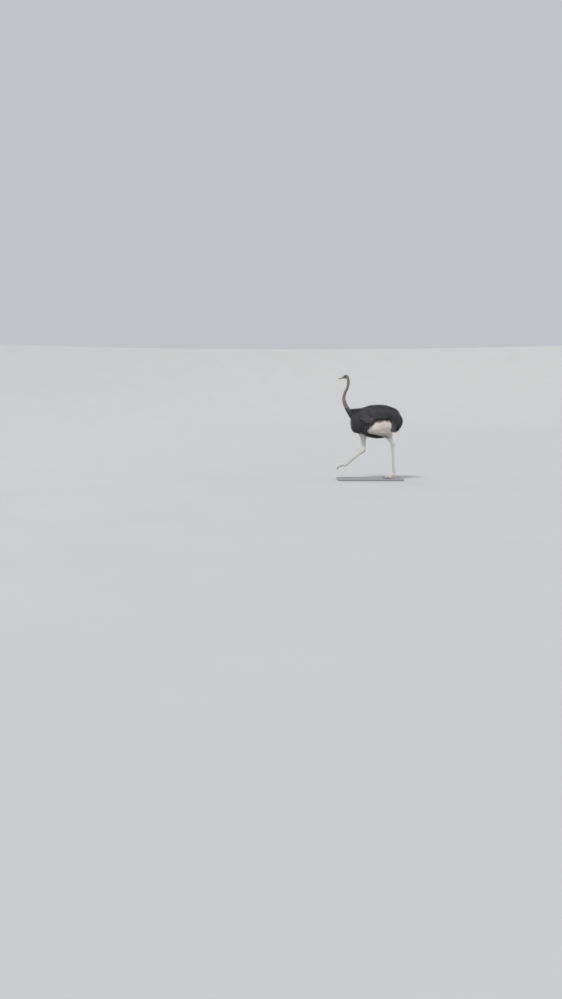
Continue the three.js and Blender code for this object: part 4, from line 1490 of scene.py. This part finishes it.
def make_tail(paint):
    """Long drooping plumes that follow the tail's bunch."""
    rng = np.random.default_rng(81)
    loft = Loft(TAIL)
    count = 210
    share = np.linspace(0, 1, 10)[None]
    begin, end = rng.uniform(0.0, 0.16, (count, 1)), rng.uniform(0.62, 1.0, (count, 1))
    u = begin + (end - begin) * share
    angle = rng.uniform(0, TURN, (count, 1)) + rng.normal(0, 0.25, (count, 1)) * share
    spread = np.sqrt(rng.uniform(0.08, 1.0, (count, 1)))
    fill = 0.30 + (spread * 0.95 - 0.30) * np.sin(share * np.pi / 2)
    path = loft.at(u, angle, share=fill)
    out = unit(loft.at(u, angle, share=fill + 0.5) - path)
    made = plumes(place(path), out, rng.uniform(0.026, 0.040, count), 46, rng, LONG_BARB)
    tone = tones(rng, 0.5, 0.25, count)
    worn = rng.uniform(0.1, 0.8, count)
    places = np.stack([begin[:, 0] * 2 + 0.1, angle[:, 0] / TURN * 0.9 + 0.05], -1)
    pale = worn[made.owner] * step(0.55, 1.0, made.share)
    tail = coat_piece("tail_plumes", made, places, tone, pale, paint, "plumage_tail")
    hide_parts("tail")


def make_down(hide, paint):
    """Hair-like down along the neck, and short bristles over the head."""
    rng = np.random.default_rng(91)
    q = to_head(hide.at)
    on_face = (hide.zone[:, ON_HEAD] > 0.5) & (near_lids(q) > 1.32) & (q[:, 1] > -48)
    ear = ear_distance(q)
    on_neck = (hide.zone[:, ON_NECK] > 0.5) & (hide.at[:, 2] > HEM - 60) & ~on_face
    neck_row, _ = smooth_rows(NECK)
    for name, use, gap, blades, thick in (
        ("coat_neck", on_neck, 0.0029, 3, 0.0007),
        ("coat_head", on_face & (ear > 5.2), 0.0016, 2, 0.00045),
    ):
        roots, owner = hide.scatter(np.where(use, gap, 0), rng, 2.5)
        spots, out, _ = hide.nearest(roots)
        at, places = unplace(roots), hide.unwrapped[owner]
        head_at = to_head(at)
        u = np.where(hide.label[owner] == ON_NECK, places[:, 0], 1)
        downward = unit(neck_row(np.maximum(u - 0.01, 0))[:, :3] - neck_row(np.minimum(u + 0.01, 1))[:, :3])
        backward = from_head(head_at + [0, 1.0, -0.35]) - at
        blend = step(46, 66, np.linalg.norm(head_at, axis=1))[:, None]
        heading = unit(backward) * (1 - blend) + downward * blend
        heading = unit(heading - out * (heading * out).sum(1, keepdims=True))
        if name == "coat_neck":
            length = np.interp(at[:, 2], [1180, 1300, 1500, 1830], [30, 21, 15, 11])
        else:
            length = 3.6 + 4.0 * step(14, 34, head_at[:, 2]) + 2.4 * step(16, 11, ear[owner])
        length = length * rng.uniform(0.7, 1.3, len(at)) * MM
        made = tufts(spots, heading, out, length, blades, thick, rng)
        dusk = 0.5 * step(HEM + 90, HEM - 20, at[:, 2])
        tone = tones(rng, 0.5 - dusk + 0.3 * ripple(at, 120, 54), 0.2, len(at))
        coat_piece(name, made, places, tone, 0.5 * made.share, paint, "neck_down")


# ---------------------------------------------------------------- the model


def colour_skin(skin, p, zones):
    """Stores where each look of the skin shows, for its material to read, and names the nodes it replaces."""
    x, y, z = p.T
    q = to_head(p)
    radius = np.linalg.norm(q, axis=1)
    trunk, neck, head, leg, tarsus, toe = zones.T
    down = neck * step(HEM - 30, HEM + 20, z) + head
    scaly = tarsus + toe
    bare = np.maximum(leg, bare_flank(p) * trunk)
    numbers(skin, "zone", np.stack([down, bare + scaly, scaly, np.ones(len(p))], -1), "FLOAT_COLOR")
    numbers(skin, "face", head * step(0, -40, q[:, 1]))
    numbers(skin, "rosy", bump_at(z, 800, 80) * 0.35)
    numbers(skin, "height", z / 1000)
    # Painted shade: the skin is darkened in the ear pits and round the lids.
    painted_shade = step(6.4, 4.4, ear_distance(q)) * (radius < 70)
    painted_shade = painted_shade + 0.5 * step(1.45, 1.1, near_lids(q)) * (radius < 60)
    # Painted shade on the downward-facing undersides of the thighs' lower parts.
    under = leg * step(0.05, -0.7, normals_of(skin.data)[:, 2]) * step(715, 775, z)
    # Painted shade darkens the skin where the left thigh meets the shank.
    thigh_shank_shade = leg * (x > 0) * bump_at(z + 0.14 * (y - 230), 762, 26) * step(110, 190, y) * step(335, 285, y)
    numbers(skin, "painted_shade", np.clip(painted_shade + 0.34 * under + 0.40 * thigh_shank_shade, 0, 1))
    skin.data.polygons.foreach_set("use_smooth", np.ones(len(skin.data.polygons), bool))
    nodes = ["head", "neck_lower", "neck_middle", "neck_upper", "trunk"]
    for side in SIDES:
        nodes += [part + side for part in ("thigh_", "shank_", "tarsus_", "toe_inner_", "toe_outer_")]
    finish(skin, skin_paint(), "bare_skin", *nodes)


make_camera()
make_lights()
make_stage()
skin, skin_at, skin_label, skin_places, zones = make_skin()
colour_skin(skin, skin_at, zones)

wet = eye_paint()
bristle = horn_paint("lash_bristle", rgb(0.03, 0.025, 0.022), rgb(0.012, 0.01, 0.01))
bill_horn = horn_paint("bill_horn", rgb(0.40, 0.35, 0.295), rgb(0.235, 0.20, 0.17), 0.42, (1, 0.22, 1))
claw_horn = horn_paint("claw_horn", rgb(0.26, 0.22, 0.18), rgb(0.10, 0.085, 0.07), 0.4, (1, 0.4, 1))
plate_horn = horn_paint("scute_horn", rgb(0.80, 0.765, 0.715), rgb(0.60, 0.545, 0.48), 0.46, (1, 1, 0.5))
for side in SIDES:
    make_eye(side, wet)
    make_lashes(side, bristle)
    make_scutes(side, plate_horn)
make_bill("bill_upper", BILL_UPPER, bill_horn, True)
make_bill("bill_lower", BILL_LOWER, bill_horn, False)
for name, rows in CLAWS.items():
    make_claw("claw_" + name, rows, claw_horn)
make_base(base_paint())

hide = Hide(skin, skin_label, skin_places, zones)
jet = rgb(0.031, 0.031, 0.035)
# The black plumage's tip colour is the painted sheen of its barb ends.
black = plume_paint("plumage_black", jet, rgb(0.100, 0.098, 0.105), rgb(0.15, 0.143, 0.14))
wing_black = plume_paint("plumage_wing", jet, rgb(0.105, 0.103, 0.109), rgb(0.62, 0.59, 0.54))
brown_black, ash = rgb(0.030, 0.028, 0.027), rgb(0.19, 0.165, 0.148)
dusty = plume_paint("plumage_tail", brown_black, rgb(0.088, 0.082, 0.076), rgb(0.17, 0.155, 0.135))
downy = plume_paint("neck_down", ash, rgb(0.36, 0.32, 0.29), rgb(0.47, 0.43, 0.39), 0.1)
make_body_coat(hide, black)
for side, seed in (("left", 71), ("right", 72)):
    wing, rng = Wing(side), np.random.default_rng(seed)
    make_wing_plumes(wing, rng, wing_black)
    make_rump_plumes(wing, rng, wing_black)
    make_coverts(wing, rng, wing_black)
make_mantle(black)
make_tail(dusty)
make_down(hide, downy)

bpy.context.view_layer.update()
